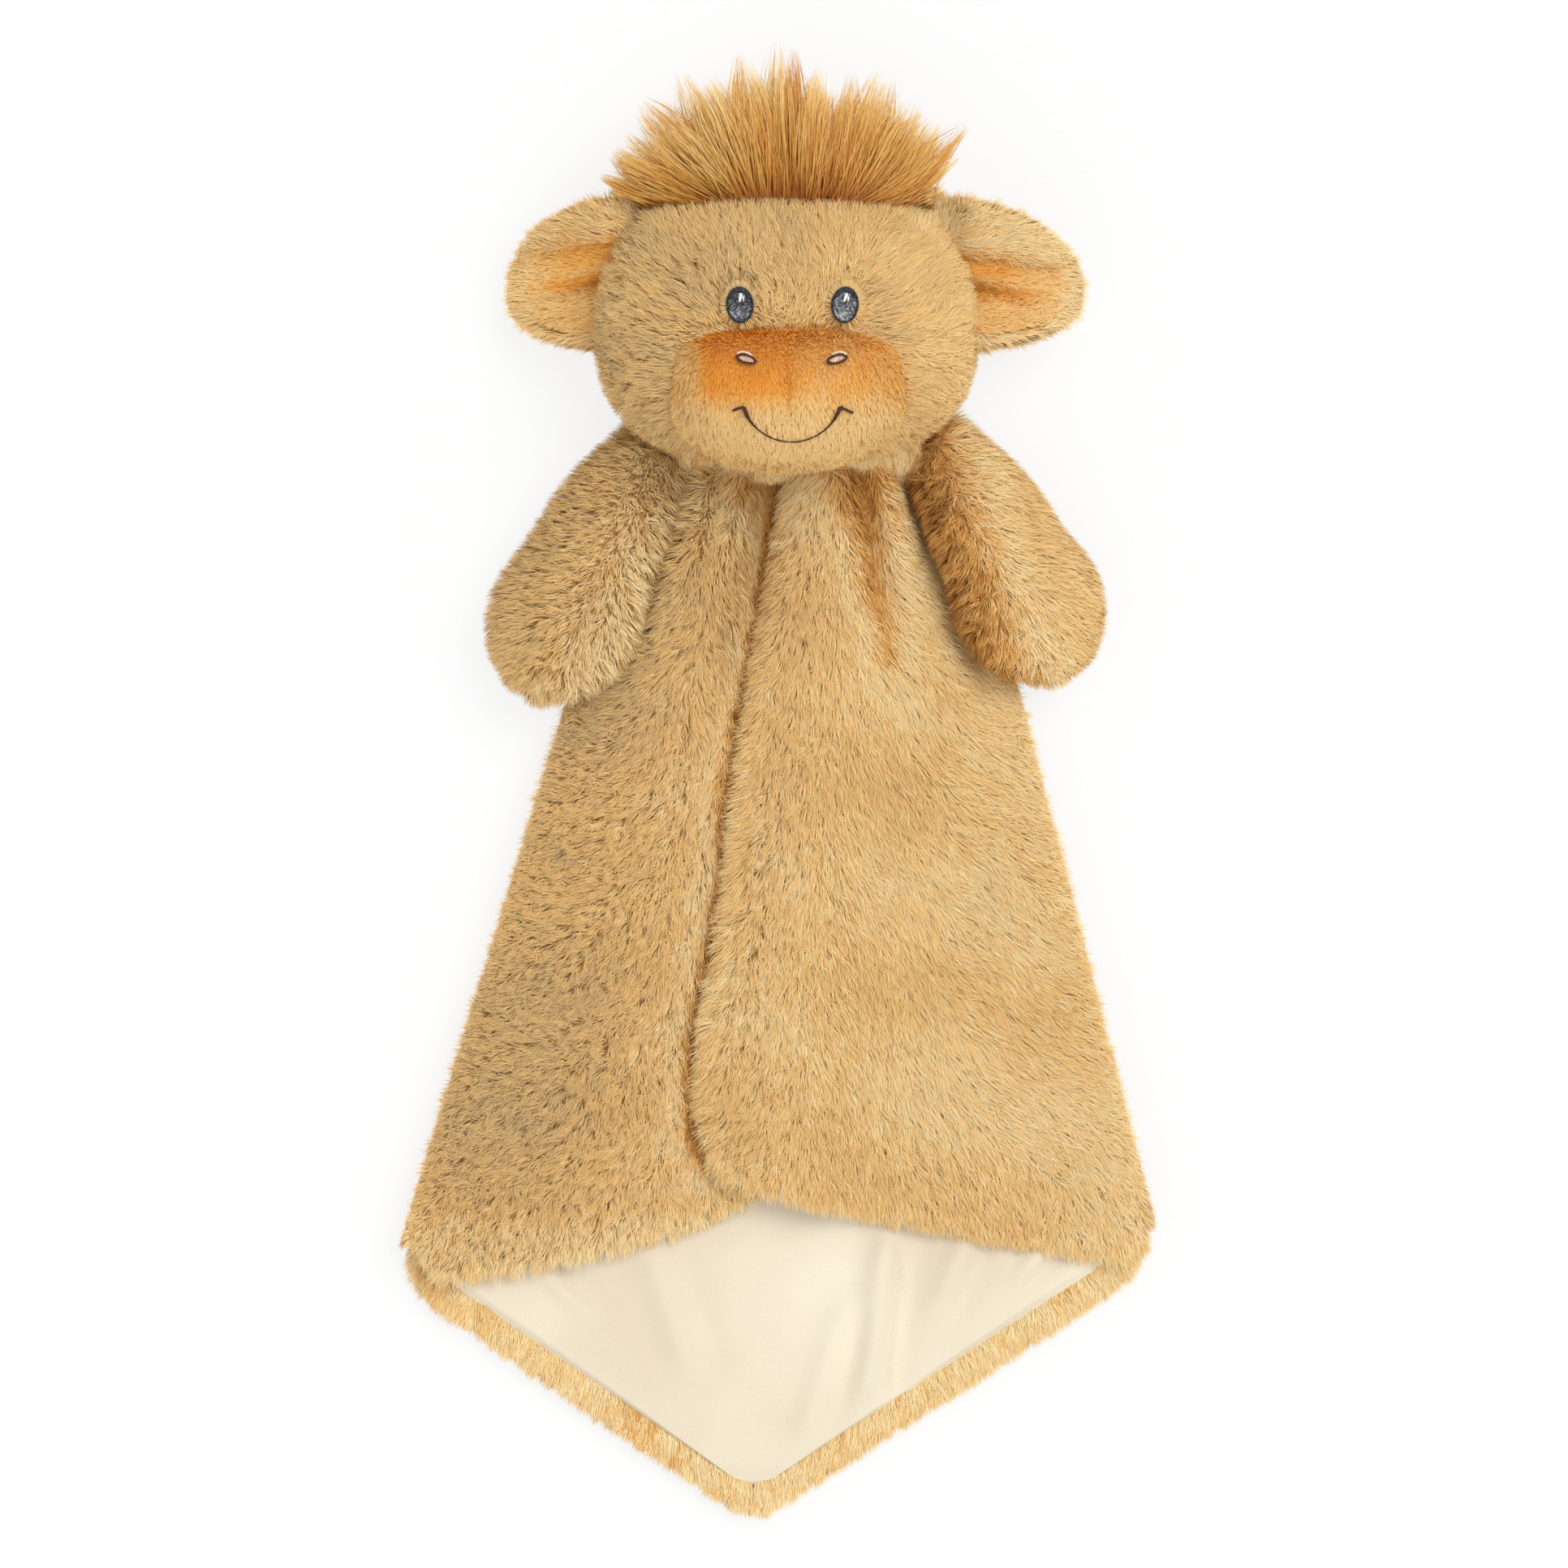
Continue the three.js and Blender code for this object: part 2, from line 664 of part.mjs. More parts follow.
// The loose edge's X at a height Y.
function looseEdgeX(side, y) {
  const curve = edgeCurve[side];
  let low = 0;
  let high = 1;
  for (let i = 0; i < 30; i += 1) {
    const middle = (low + high) / 2;
    if (curve.getPoint(middle).y > y) low = middle;
    else high = middle;
  }
  const top = fromNeck(edgeTop[side]);
  return y > top[1] ? top[0] : curve.getPoint(low).x;
}

// Where a straight line from the fold meets the loose edge.
function onLooseEdge(side, start, across) {
  let reach = 0;
  for (let i = 0; i < 40; i += 1) {
    const y = start[1] + across[1] * reach;
    reach = Math.abs((looseEdgeX(side, y) - start[0]) / across[0]);
  }
  return [start[0] + across[0] * reach, start[1] + across[1] * reach];
}

// Coons patch: plan point at u from the fold to the loose edge, v from the neck towards the hem.
function patch(topSide, bottomSide, foldSide, looseSide) {
  return (u, v) => {
    const a = topSide(u);
    const b = bottomSide(u);
    const c = foldSide(v);
    const d = looseSide(v);
    return [0, 1].map((i) =>
      (1 - v) * a[i] + v * b[i] + (1 - u) * c[i] + u * d[i] -
      ((1 - u) * (1 - v) * topSide(0)[i] + u * (1 - v) * topSide(1)[i] +
        (1 - u) * v * bottomSide(0)[i] + u * v * bottomSide(1)[i]));
  };
}

function gatherPatch(side) {
  const { top, bendPoint } = foldLine(side);
  const { outer, across } = flapBreak(side, 0);
  const inner = onLooseEdge(side, outer, across);
  const topInner = [edgeTop[side][0], neckEndY];
  const upper = Math.hypot(bendPoint[0] - top[0], bendPoint[1] - top[1]);
  const lower = Math.hypot(outer[0] - bendPoint[0], outer[1] - bendPoint[1]);
  const bendShare = upper / (upper + lower);
  return patch(
    (u) => between(top, topInner, u),
    (u) => between(outer, inner, u),
    (v) => (v < bendShare
      ? between(top, bendPoint, v / bendShare)
      : between(bendPoint, outer, (v - bendShare) / (1 - bendShare))),
    (v) => {
      const y = topInner[1] + (inner[1] - topInner[1]) * v;
      return [looseEdgeX(side, y), y];
    },
  );
}

function flapPatch(side) {
  const { low } = foldLine(side);
  const { outer, across } = flapBreak(side, clearance);
  const inner = onLooseEdge(side, outer, across);
  const corner = fromCorner(side, innerCorner[side]);
  const hemPoints = [outerCorner[side], fromCorner(side, hemMid[side]), corner];
  const hem = new THREE.CatmullRomCurve3(hemPoints.map(([x, y]) => new THREE.Vector3(x, y, 0)));
  return patch(
    (u) => between(outer, inner, u),
    (u) => hem.getPoint(u).toArray().slice(0, 2),
    (v) => {
      const turn = smooth((v - 0.85) / 0.15);
      const straight = between(outer, low, Math.min(1, v / 0.93));
      return between(straight, outerCorner[side], turn * turn);
    },
    (v) => {
      const y = inner[1] + (corner[1] - inner[1]) * v;
      return v === 1 ? corner : [looseEdgeX(side, y), y];
    },
  );
}

// Rise of a soft edge at a distance inside it.
const rounded = (distance, radius) =>
  Math.sqrt(Math.max(0, 1 - (1 - Math.min(1, Math.max(0, distance) / radius)) ** 2));

// How far the right flap has climbed onto the left one: 0 beside it, 1 on it.
function climb(x, y) {
  return smooth((looseEdgeX("left", y) + overlapLevelBand + overlapSlope - x) / overlapSlope);
}

// The fold line's X at a height Y.
function foldX(side, y) {
  const { top, bendPoint, low } = foldLine(side);
  const [from, to] = y > bendPoint[1] ? [top, bendPoint] : [bendPoint, low];
  return from[0] + ((to[0] - from[0]) * (from[1] - y)) / (from[1] - to[1]);
}

// Fullness towards the neck: 0 at the loose flaps, 1 at the neck.
const swellBottom = headBottomY + swellStart;
const towardsNeck = (y) => smooth((y - swellBottom) / (neckY - pleatHalfWidth));

function pleatDip(side, x, y) {
  const below = Math.max(0, neckY - y);
  const fade = 1 - smooth(below / pleatReach);
  return gatherPleats[side].reduce((dip, { top, drift }) => {
    const line = top + (drift * below) / pleatReach;
    return dip + pleatDepth * fade * Math.max(0, 1 - Math.abs(x - line) / pleatHalfWidth);
  }, 0);
}

// Top surface of the folded front at a plan point.
function frontTop(side, x, y) {
  const fromEdge = Math.abs(x - looseEdgeX(side, y));
  const fromFold = Math.abs(x - foldX(side, y));
  const full = towardsNeck(y) * smooth((fromFold - armRest) / gatherRise);
  if (side === "right") {
    const level = frontLevel + (overLevel - frontLevel) * climb(x, y);
    const swell = gatherSwell + (gatherSwellOver - gatherSwell) * climb(x, y);
    return level + swell * full * rounded(fromEdge, gatherEdgeRound) - pleatDip(side, x, y);
  }
  const toRightEdge = looseEdgeX("right", y) - x;
  const free = smooth((toRightEdge - pressedBand) / pressedRise);
  const level = pressedLevel + (frontLevel + gatherSwell * full - pressedLevel) * free;
  return level - pleatDip(side, x, y) * free;
}

// Underside of the folded front's lining at a plan point.
function frontBase(side, x, y) {
  if (side === "left") return flapLiningBase;
  return flapLiningBase + (overLiningBase - flapLiningBase) * climb(x, y);
}

// One layer of the folded front: its lining, or its fur with the soft edges.
function frontSheet(side, plan, columns, rows, layer, softTop) {
  const spot = (face) => (u, v) => {
    const [x, y] = plan(u, v);
    const base = frontBase(side, x, y);
    if (layer === "lining") return [x, y, face === "top" ? base + liningThickness : base];
    const low = base + liningThickness + clearance;
    if (face === "bottom") return [x, y, low];
    const start = plan(0, v);
    const end = plan(1, v);
    const hem = plan(u, 1);
    const fold = Math.hypot(x - start[0], y - start[1]);
    const loose = Math.hypot(x - end[0], y - end[1]);
    const fromHem = softTop ? foldRound : Math.hypot(x - hem[0], y - hem[1]);
    const soft = rounded(fold + 1, foldRound) * rounded(loose + 0.8, edgeSoftness) *
      rounded(fromHem + 0.8, edgeSoftness);
    const rimLevel = low + edgeThickness;
    return [x, y, rimLevel + (frontTop(side, x, y) - rimLevel) * soft];
  };
  return toSolid(slab(columns, rows, spot("bottom"), spot("top")));
}

const soften = (inner) => [0, 0.03, 0.08, ...inner, 0.93, 0.975, 1];
const gatherColumns = soften([0.16, 0.25, 0.34, 0.43, 0.52, 0.61, 0.7, 0.79, 0.87]);
const gatherRows = [0, 0.1, 0.22, 0.36, 0.52, 0.68, 0.84, 1];
const flapColumns = soften([0.2, 0.4, 0.6, 0.75, 0.86]);
const flapRows = [0, 0.2, 0.4, 0.6, 0.78, 0.9, 0.96, 1];

function frontPieces(side) {
  const gather = gatherPatch(side);
  const flap = flapPatch(side);
  const cut = (layer, columns) =>
    frontSheet(side, gather, columns, gatherRows, layer, true).subtract(headAndMuzzleGrown);
  const liningColumns = (columns) => (side === "left" ? evenly(2) : columns);
  return {
    gather: { fur: cut("fur", gatherColumns), lining: cut("lining", liningColumns(gatherColumns)) },
    flap: {
      fur: frontSheet(side, flap, flapColumns, flapRows, "fur", false),
      lining: frontSheet(side, flap, liningColumns(flapColumns), flapRows, "lining", false),
    },
  };
}

// Arms: a sleeve that swells towards the hand, open at the shoulder. It can be made to start before it.

function armSolid(side, grow, { rings: steps, sides: count } = armOuterGrid, before = 0) {
  const path = new THREE.CatmullRomCurve3(
    [armShoulder, armElbow, armEnd].map((place) => new THREE.Vector3(...fromNeck(place[side]), 0)),
  );
  const length = path.getLength();
  const handStart = 1 - handWidth / 2 / length;
  const halfWidth = (t) => {
    if (t < 0.5) return (shoulderWidth + (elbowWidth - shoulderWidth) * smooth(t / 0.5)) / 2;
    return (elbowWidth + (handWidth - elbowWidth) * smooth((t - 0.5) / 0.25)) / 2;
  };
  const rings = evenly(steps).map((share) => {
    const t = Math.sin((share * Math.PI) / 2) ** 1.15;
    const centre = path.getPoint(t);
    const tangent = path.getTangent(t);
    const inHand = Math.max(0, (t - handStart) / (1 - handStart));
    const round = Math.sqrt(Math.max(0, 1 - inHand ** 2));
    const fullness = shoulderFullness + (1 - shoulderFullness) * smooth(t / armSwellEnd);
    const wide = Math.max(halfWidth(t) * round + grow, smallestRadius);
    const thick = Math.max((armThickness / 2) * round ** 0.8 * fullness + grow, smallestRadius);
    const handShift = grow * inHand;
    const endShift = t === 0 ? -before : handShift;
    return Array.from({ length: count }, (_, k) => {
      const angle = (k / count) * 2 * Math.PI;
      const across = wide * Math.cos(angle);
      const lean = armLean * smooth(t / armSwellEnd);
      const tilt = (signOf[side] * lean * across) / (handWidth / 2);
      return [
        centre.x - tangent.y * across + tangent.x * endShift,
        centre.y + tangent.x * across + tangent.y * endShift,
        armThickness / 2 - restFlat + thick * Math.sin(angle) + lean / 2 - tilt,
      ];
    });
  });
  return toSolid(loft(rings));
}

// The arm turns on a line across the end of its shoulder; a positive turn lifts the hand.
function armHinge(side) {
  const shoulder = fromNeck(armShoulder[side]);
  const elbow = fromNeck(armElbow[side]);
  const along = elbow.map((value, i) => value - shoulder[i]);
  const length = Math.hypot(...along);
  const unit = along.map((value) => value / length);
  const [x, y] = shoulder.map((value, i) => value + unit[i] * armPivotAlong);
  return {
    point: [x, y, armPivotHeight],
    axis: [unit[1], -unit[0], 0],
  };
}

const blanketBackFur = backSheet(0, 0, furUnder, edgeRound).subtract(headSolid(clearance));
const blanketBackLining = backSheet(fringe, backLiningBase, liningThickness, 0)
  .subtract(headSolid(clearance));
const fronts = { left: frontPieces("left"), right: frontPieces("right") };

function armPieces(side) {
  const blanketRoom = [
    fronts[side].gather.fur,
    fronts[side].gather.lining,
    blanketBackFur,
    blanketBackLining,
  ].reduce((whole, piece) => whole.add(piece));
  const shifts = [[0, 0, clearance], [signOf[side] * clearance, 0, 0], [0, 0, -clearance]];
  const grownRoom = shifts
    .map((shift) => blanketRoom.translate(shift))
    .reduce((whole, piece) => whole.add(piece), blanketRoom);
  const still = grownRoom.add(headAndMuzzleGrown);
  const { point, axis } = armHinge(side);
  const rooms = armLiftStops
    .map((share) => turned(still, point, axis, -armLiftLimit * share))
    .reduce((whole, piece) => whole.add(piece), still);
  const whole = armSolid(side, 0).intersect(aboveLevel(0)).subtract(rooms);
  const hollow = armSolid(side, -furThickness, armInnerGrid, furThickness);
  const filling = armSolid(side, -furThickness - 2 * clearance, armInnerGrid);
  return {
    skin: whole.subtract(hollow),
    stuffing: filling.intersect(aboveLevel(furThickness)).subtract(rooms),
  };
}

// Materials

const cloth = (color, roughness = 0.95) =>
  new THREE.MeshStandardMaterial({ color, roughness, metalness: 0 });
const tanFur = cloth(0xcfa56b);
const creamLining = cloth(0xf0e8d8, 0.8);
const orangePlush = cloth(0xe0a055, 0.85);
const hairPile = cloth(0xc88a42, 0.8);
const whiteFibre = cloth(0xf4f2ec);
const darkThread = cloth(0x33353c, 0.5);
const greyThread = cloth(0x7d888f, 0.45);
const whiteThread = cloth(0xf5f5f5, 0.5);
const brownThread = cloth(0x4f2d22, 0.5);

function named(name, solid, material) {
  const mesh = new THREE.Mesh(toGeometry(solid), material);
  mesh.name = name;
  return mesh;
}

// Assembly

const comforter = new THREE.Group();
comforter.name = "comforter";

const blanket = new THREE.Group();
blanket.add(named("blanket_back_fur", blanketBackFur, tanFur));
blanket.add(named("blanket_back_lining", blanketBackLining, creamLining));
comforter.add(blanket);

const head = new THREE.Group();
head.add(named("head_face_skin", headFaceSkin, tanFur));
head.add(named("head_back_skin", headBackSkin, tanFur));
head.add(named("head_stuffing", headStuffing, whiteFibre));
head.add(named("hair_tuft", hairSolid(), hairPile));
head.add(named("mouth_stitch", mouthThread(), brownThread));
comforter.add(head);

for (const side of sides) {
  const { gather, flap } = fronts[side];
  blanket.add(named(`gather_${side}_fur`, gather.fur, tanFur));
  blanket.add(named(`gather_${side}_lining`, gather.lining, creamLining));
  const loose = new THREE.Group();
  loose.add(named(`flap_${side}_fur`, flap.fur, tanFur));
  loose.add(named(`flap_${side}_lining`, flap.lining, creamLining));
  comforter.add(loose);

  head.add(named(`muzzle_${side}_panel`, muzzlePanels[side], orangePlush));
  const eye = eyeThreads(side);
  head.add(named(`eye_${side}_outline`, eye.outline, darkThread));
  head.add(named(`eye_${side}_iris`, eye.iris, greyThread));
  head.add(named(`eye_${side}_highlight`, eye.highlight, whiteThread));
  head.add(named(`nostril_${side}_stitch`, nostrilThread(side), brownThread));

  const ear = earPieces(side);
  const earGroup = new THREE.Group();
  earGroup.add(named(`ear_${side}_outer`, ear.outer, tanFur));
  earGroup.add(named(`ear_${side}_lining`, ear.lining, orangePlush));
  head.add(earGroup);

  const arm = armPieces(side);
  const armGroup = new THREE.Group();
  armGroup.add(named(`arm_${side}_skin`, arm.skin, tanFur));
  armGroup.add(named(`arm_${side}_stuffing`, arm.stuffing, whiteFibre));
  comforter.add(armGroup);
}

export default comforter;
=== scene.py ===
import math

import bpy
import numpy as np
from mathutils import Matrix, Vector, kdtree


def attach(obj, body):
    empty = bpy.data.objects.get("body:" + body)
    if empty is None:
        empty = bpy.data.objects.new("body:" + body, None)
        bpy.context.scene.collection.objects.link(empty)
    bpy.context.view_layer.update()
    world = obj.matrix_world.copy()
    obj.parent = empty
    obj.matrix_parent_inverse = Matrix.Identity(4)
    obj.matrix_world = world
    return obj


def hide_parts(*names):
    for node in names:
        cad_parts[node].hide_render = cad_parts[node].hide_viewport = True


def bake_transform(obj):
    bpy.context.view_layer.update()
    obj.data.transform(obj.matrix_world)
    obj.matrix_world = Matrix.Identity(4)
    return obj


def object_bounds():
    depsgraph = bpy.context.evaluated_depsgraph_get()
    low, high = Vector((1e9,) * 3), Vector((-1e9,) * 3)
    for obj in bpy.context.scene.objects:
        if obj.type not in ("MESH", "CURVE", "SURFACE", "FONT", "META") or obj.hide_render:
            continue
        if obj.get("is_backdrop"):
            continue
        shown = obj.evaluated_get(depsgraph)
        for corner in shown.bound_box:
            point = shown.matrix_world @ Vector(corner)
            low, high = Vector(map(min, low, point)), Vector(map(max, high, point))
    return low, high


# Looks of a plush comforter that lies on its back: +Z up, +Y towards the head, +X the viewer's right.
# All sizes are in millimetres, and become metres where an object is made.

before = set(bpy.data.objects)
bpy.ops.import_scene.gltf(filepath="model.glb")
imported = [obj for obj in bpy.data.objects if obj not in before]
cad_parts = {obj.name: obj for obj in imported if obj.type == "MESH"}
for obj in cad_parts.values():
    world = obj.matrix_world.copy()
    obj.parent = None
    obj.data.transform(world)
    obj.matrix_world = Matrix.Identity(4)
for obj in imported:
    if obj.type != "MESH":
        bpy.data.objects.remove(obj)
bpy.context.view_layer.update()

MM = 0.001
SIDES = ("left", "right")
SIGN = {"left": -1, "right": 1}

# Head
HEAD_X, HEAD_TOP, HEAD_BOTTOM = 3.0, 158.5, 86.0
HEAD_WIDEST_Y, FACE_FULLEST_Y = 122.5, 116.5
HEAD_HALF, TOP_HALF, NECK_HALF = 53.8, 38.5, 21.0
SEAM_Z, FACE_DEPTH, BACK_DEPTH, TOP_DEPTH, NECK_DEPTH = 28.5, 31.0, 29.0, 3.0, 11.0
SQUARENESS = 2.2
PILE = 4.0  # height of the pile over the head's and the arms' skin

# Muzzle
MUZZLE_Y, MUZZLE_Z = 104.5, 48.0
MUZZLE_HALF, MUZZLE_HALF_LENGTH, MUZZLE_RISE = 32.0, 19.7, 24.0
MUZZLE_SQUARENESS = (2.1, 3.6)  # of its outline, below and above its middle

# Blanket, plan points
NECK_END_Y, NECK_Y = 95.0, 84.0
NECK_EDGE_X = {"left": -29.0, "right": 40.0}
BEND = {"left": (-57.0, 20.0), "right": (65.0, 25.0)}
CORNER_Y = {"left": -127.0, "right": -122.0}
HALF_WIDTH, TIP = 102.5, (-6.6, -203.0)
LOOSE_EDGE = {
    "left": ((10, 84), (3, 24), (2, -30.5), (1, -85), (0, -110)),
    "right": ((4, 84), (-6, 24), (-13, -32), (-20, -88), (-16.5, -107.5)),
}
OUTER_CORNER = {"left": (-93.0, -136.0), "right": (95.0, -131.0)}
HEM_MIDDLE = {"left": (-42.0, -127.0), "right": (21.0, -117.5)}

# Blanket, levels
FRONT_LINING_Z, FRONT_TOP_Z, PRESSED_TOP_Z = 6.8, 15.0, 11.6
OVER_LINING_Z, OVER_TOP_Z = 13.3, 21.5
CLOTH_Z, CLOTH_UNDER_Z, LINING_Z, LINING_UNDER_Z = 4.9, 3.8, 6.0, 4.95  # of the half underneath
FRONT_PILE, FRONT_CLOTH = 4.4, 0.9  # height of the fronts' pile, thickness of their cloth
PLEAT_DEPTH = {"left": 4.0, "right": 6.0}
PLEATS = {"left": ((-14, -7),), "right": ((22.9, 8), (33, 13))}  # X at the neck, and sideways run


# Numbers and curves

def smooth(t):
    t = np.clip(t, 0, 1)
    return t * t * (3 - 2 * t)


def bent(value, power):
    return np.sign(value) * np.abs(value) ** power


def unit(v):
    return v / np.maximum(np.linalg.norm(v, axis=-1, keepdims=True), 1e-9)


def mix(a, b, share):
    return a + (b - a) * share


def by(share, low, high):
    """A function of points that runs from low to high as share(points) runs from 0 to 1."""
    return lambda points: mix(low, high, share(points))


def through(points, t):
    """Points at t from 0 to 1 on the parabola through three points."""
    a, b, c = (np.array(p, float) for p in points)
    t = np.asarray(t, float)[..., None]
    return a * (1 - t) * (1 - 2 * t) + b * 4 * t * (1 - t) + c * t * (2 * t - 1)


def eased(y, points):
    """X at Y on a smooth curve through points that run downwards."""
    xs, ys = (np.array([p[i] for p in points], float)[::-1] for i in (0, 1))
    slopes = np.gradient(xs, ys)
    k = np.clip(np.searchsorted(ys, y) - 1, 0, len(ys) - 2)
    h = ys[k + 1] - ys[k]
    t = np.clip((y - ys[k]) / h, 0, 1)
    return ((1 + 2 * t) * (1 - t) ** 2 * xs[k] + t * (1 - t) ** 2 * h * slopes[k]
            + t * t * (3 - 2 * t) * xs[k + 1] + t * t * (t - 1) * h * slopes[k + 1])


def waves(points, wavelength, seed):
    """Smooth seeded noise from about -1 to 1."""
    rng = np.random.default_rng(seed)
    turns = unit(rng.normal(size=(6, 3))) * rng.uniform(0.6, 1.5, (6, 1))
    phases = rng.uniform(0, 2 * math.pi, 6)
    return np.sin(points @ turns.T * 2 * math.pi / wavelength + phases).mean(1) * 2


def plan_waves(x, y, wavelength, seed):
    return waves(np.stack([x, y, 0 * x], -1).reshape(-1, 3), wavelength, seed).reshape(x.shape)


def raised(plan, level):
    """Points from plan points and their levels."""
    return np.concatenate([plan, np.asarray(level)[..., None]], -1)


def levelled(points, z):
    return raised(points[..., :2], np.full(points.shape[:-1], z))


# Meshes

class Surface:
    """Points with four-sided and three-sided faces."""

    def __init__(self, points, quads=(), tris=()):
        self.points = np.asarray(points, float).reshape(-1, 3)
        self.quads = np.asarray(quads, int).reshape(-1, 4)
        self.tris = np.asarray(tris, int).reshape(-1, 3)

    def triangles(self):
        return np.vstack([self.quads[:, [0, 1, 2]], self.quads[:, [0, 2, 3]], self.tris])

    def normals(self):
        t = self.triangles()
        a, b, c = (self.points[t[:, i]] for i in range(3))
        face = np.cross(b - a, c - a)
        total = np.zeros_like(self.points)
        for i in range(3):
            np.add.at(total, t[:, i], face)
        return unit(total)

    def facing(self, way):
        """The surface, turned over if it doesn't face this way on the whole."""
        if (self.normals() * way).sum() < 0:
            self.quads, self.tris = self.quads[:, ::-1], self.tris[:, ::-1]
        return self


def grid(points, up=True):
    """Open sheet from points (rows, columns, 3), facing up unless told otherwise."""
    rows, columns = points.shape[:2]
    a = (np.arange(rows - 1)[:, None] * columns + np.arange(columns - 1)).ravel()
    return Surface(points, np.stack([a, a + 1, a + columns + 1, a + columns], 1)).facing((0, 0, 1 if up else -1))


def loft(rings):
    """Closed form through rings (rings, around, 3), capped at both ends."""
    count, around = rings.shape[:2]
    a = np.arange(count - 1)[:, None] * around
    k = np.arange(around)
    n = (k + 1) % around
    quads = np.stack([a + k, a + n, a + n + around, a + k + around], -1).reshape(-1, 4)
    points = np.vstack([rings.reshape(-1, 3), rings[0].mean(0), rings[-1].mean(0)])
    first, last = count * around, (count - 1) * around
    tris = np.vstack([np.stack([n, k, np.full(around, first)], 1),
                      np.stack([last + k, last + n, np.full(around, first + 1)], 1)])
    return Surface(points, quads, tris).facing(points - points.mean(0))


def slab(top, bottom):
    """Closed sheet between two grids of points."""
    rows, columns = top.shape[:2]
    n = rows * columns
    faces = grid(top).quads
    i = np.arange(columns - 1)
    j = np.arange(rows - 1) * columns
    rim = np.concatenate([
        np.stack([i, i + 1], 1), np.stack([j + columns - 1, j + 2 * columns - 1], 1),
        np.stack([n - 1 - i, n - 2 - i], 1), np.stack([j[::-1] + columns, j[::-1]], 1)])
    sides = np.stack([rim[:, 0], rim[:, 1], rim[:, 1] + n, rim[:, 0] + n], 1)
    edges = {(int(f[k]), int(f[(k + 1) % 4])) for f in faces for k in range(4)}
    if (int(sides[0, 0]), int(sides[0, 1])) in edges:  # the sides agree with the upper faces
        sides = sides[:, ::-1]
    points = np.vstack([top.reshape(-1, 3), bottom.reshape(-1, 3)])
    return Surface(points, np.vstack([faces, faces[:, ::-1] + n, sides]))


def make(name, surface, material, uv=None, normals=None):
    """A smooth object from a surface. uv has a row for each point."""
    mesh = bpy.data.meshes.new(name)
    corners = np.concatenate([surface.quads.ravel(), surface.tris.ravel()])
    sizes = np.concatenate([np.full(len(surface.quads), 4), np.full(len(surface.tris), 3)])
    mesh.vertices.add(len(surface.points))
    mesh.vertices.foreach_set("co", (surface.points * MM).astype(np.float32).ravel())
    mesh.loops.add(len(corners))
    mesh.loops.foreach_set("vertex_index", corners.astype(np.int32))
    mesh.polygons.add(len(sizes))
    mesh.polygons.foreach_set("loop_start", (np.cumsum(sizes) - sizes).astype(np.int32))
    mesh.polygons.foreach_set("use_smooth", np.ones(len(sizes), bool))
    mesh.update(calc_edges=True)
    mesh.validate()
    if uv is not None:
        layer = mesh.uv_layers.new(name="OFBake")
        layer.uv.foreach_set("vector", uv[corners].astype(np.float32).ravel())
    if normals is not None:
        mesh.normals_split_custom_set_from_vertices(normals.astype(np.float32))
    mesh.materials.append(material)
    obj = bpy.data.objects.new(name, mesh)
    bpy.context.scene.collection.objects.link(obj)
    return obj


def read_back(obj):
    """The surface of an object's own mesh."""
    mesh = obj.data
    mesh.calc_loop_triangles()
    co = np.zeros(len(mesh.vertices) * 3, np.float32)
    tris = np.zeros(len(mesh.loop_triangles) * 3, np.int32)
    mesh.vertices.foreach_get("co", co)
    mesh.loop_triangles.foreach_get("vertices", tris)
    return Surface(co.reshape(-1, 3) / MM, (), tris)


def rides(body):
    return lambda obj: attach(obj, body)


def bends():
    """Bakes the transform into the mesh of fabric that crosses from one body to another."""
    return lambda obj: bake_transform(obj)


def placed(obj, fasten, *replaced):
    """Fastens an object and hides the CAD nodes that it stands for."""
    fasten(obj)
    if replaced:
        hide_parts(*replaced)
    return obj


def puffed(obj, voxel, cap, pinned):
    """Stuffs a closed form: its cloth is inflated, held where pinned(points) says, and moves no further than cap."""
    bpy.context.view_layer.objects.active = obj
    obj.select_set(True)
    obj.data.remesh_voxel_size = voxel * MM
    bpy.ops.object.voxel_remesh()
    before = read_back(obj).points
    held = obj.vertex_groups.new(name="held")
    held.add([int(i) for i in np.nonzero(pinned(before))[0]], 1.0, "REPLACE")
    cloth = obj.modifiers.new("stuffing", "CLOTH")
    cloth.settings.use_pressure = True
    cloth.settings.uniform_pressure_force = 4
    cloth.settings.vertex_group_mass = "held"
    cloth.settings.effector_weights.gravity = 0
    cloth.point_cache.frame_end = 20
    for f in range(1, 21):
        bpy.context.scene.frame_set(f)
    shape = obj.evaluated_get(bpy.context.evaluated_depsgraph_get())
    co = np.zeros(len(shape.data.vertices) * 3, np.float32)
    shape.data.vertices.foreach_get("co", co)
    move = co.reshape(-1, 3) / MM - before
    size = np.linalg.norm(move, axis=1, keepdims=True)
    after = before + move * np.minimum(1, cap / np.maximum(size, 1e-9))
    obj.modifiers.remove(cloth)
    obj.vertex_groups.clear()
    obj.data.vertices.foreach_set("co", (after * MM).astype(np.float32).ravel())
    obj.data.update()
    fine = obj.modifiers.new("fine", "SUBSURF")
    fine.levels = fine.render_levels = 1
    with bpy.context.temp_override(object=obj, active_object=obj):
        bpy.ops.object.modifier_apply(modifier="fine")
    obj.select_set(False)
    bpy.context.scene.frame_set(1)
    for polygon in obj.data.polygons:
        polygon.use_smooth = True
    return obj


# Materials

def linear(*colour):
    """Linear red, green and blue of an sRGB colour from 0 to 255."""
    s = np.array(colour) / 255
    return tuple(np.where(s <= 0.04045, s / 12.92, ((s + 0.055) / 1.055) ** 2.4))


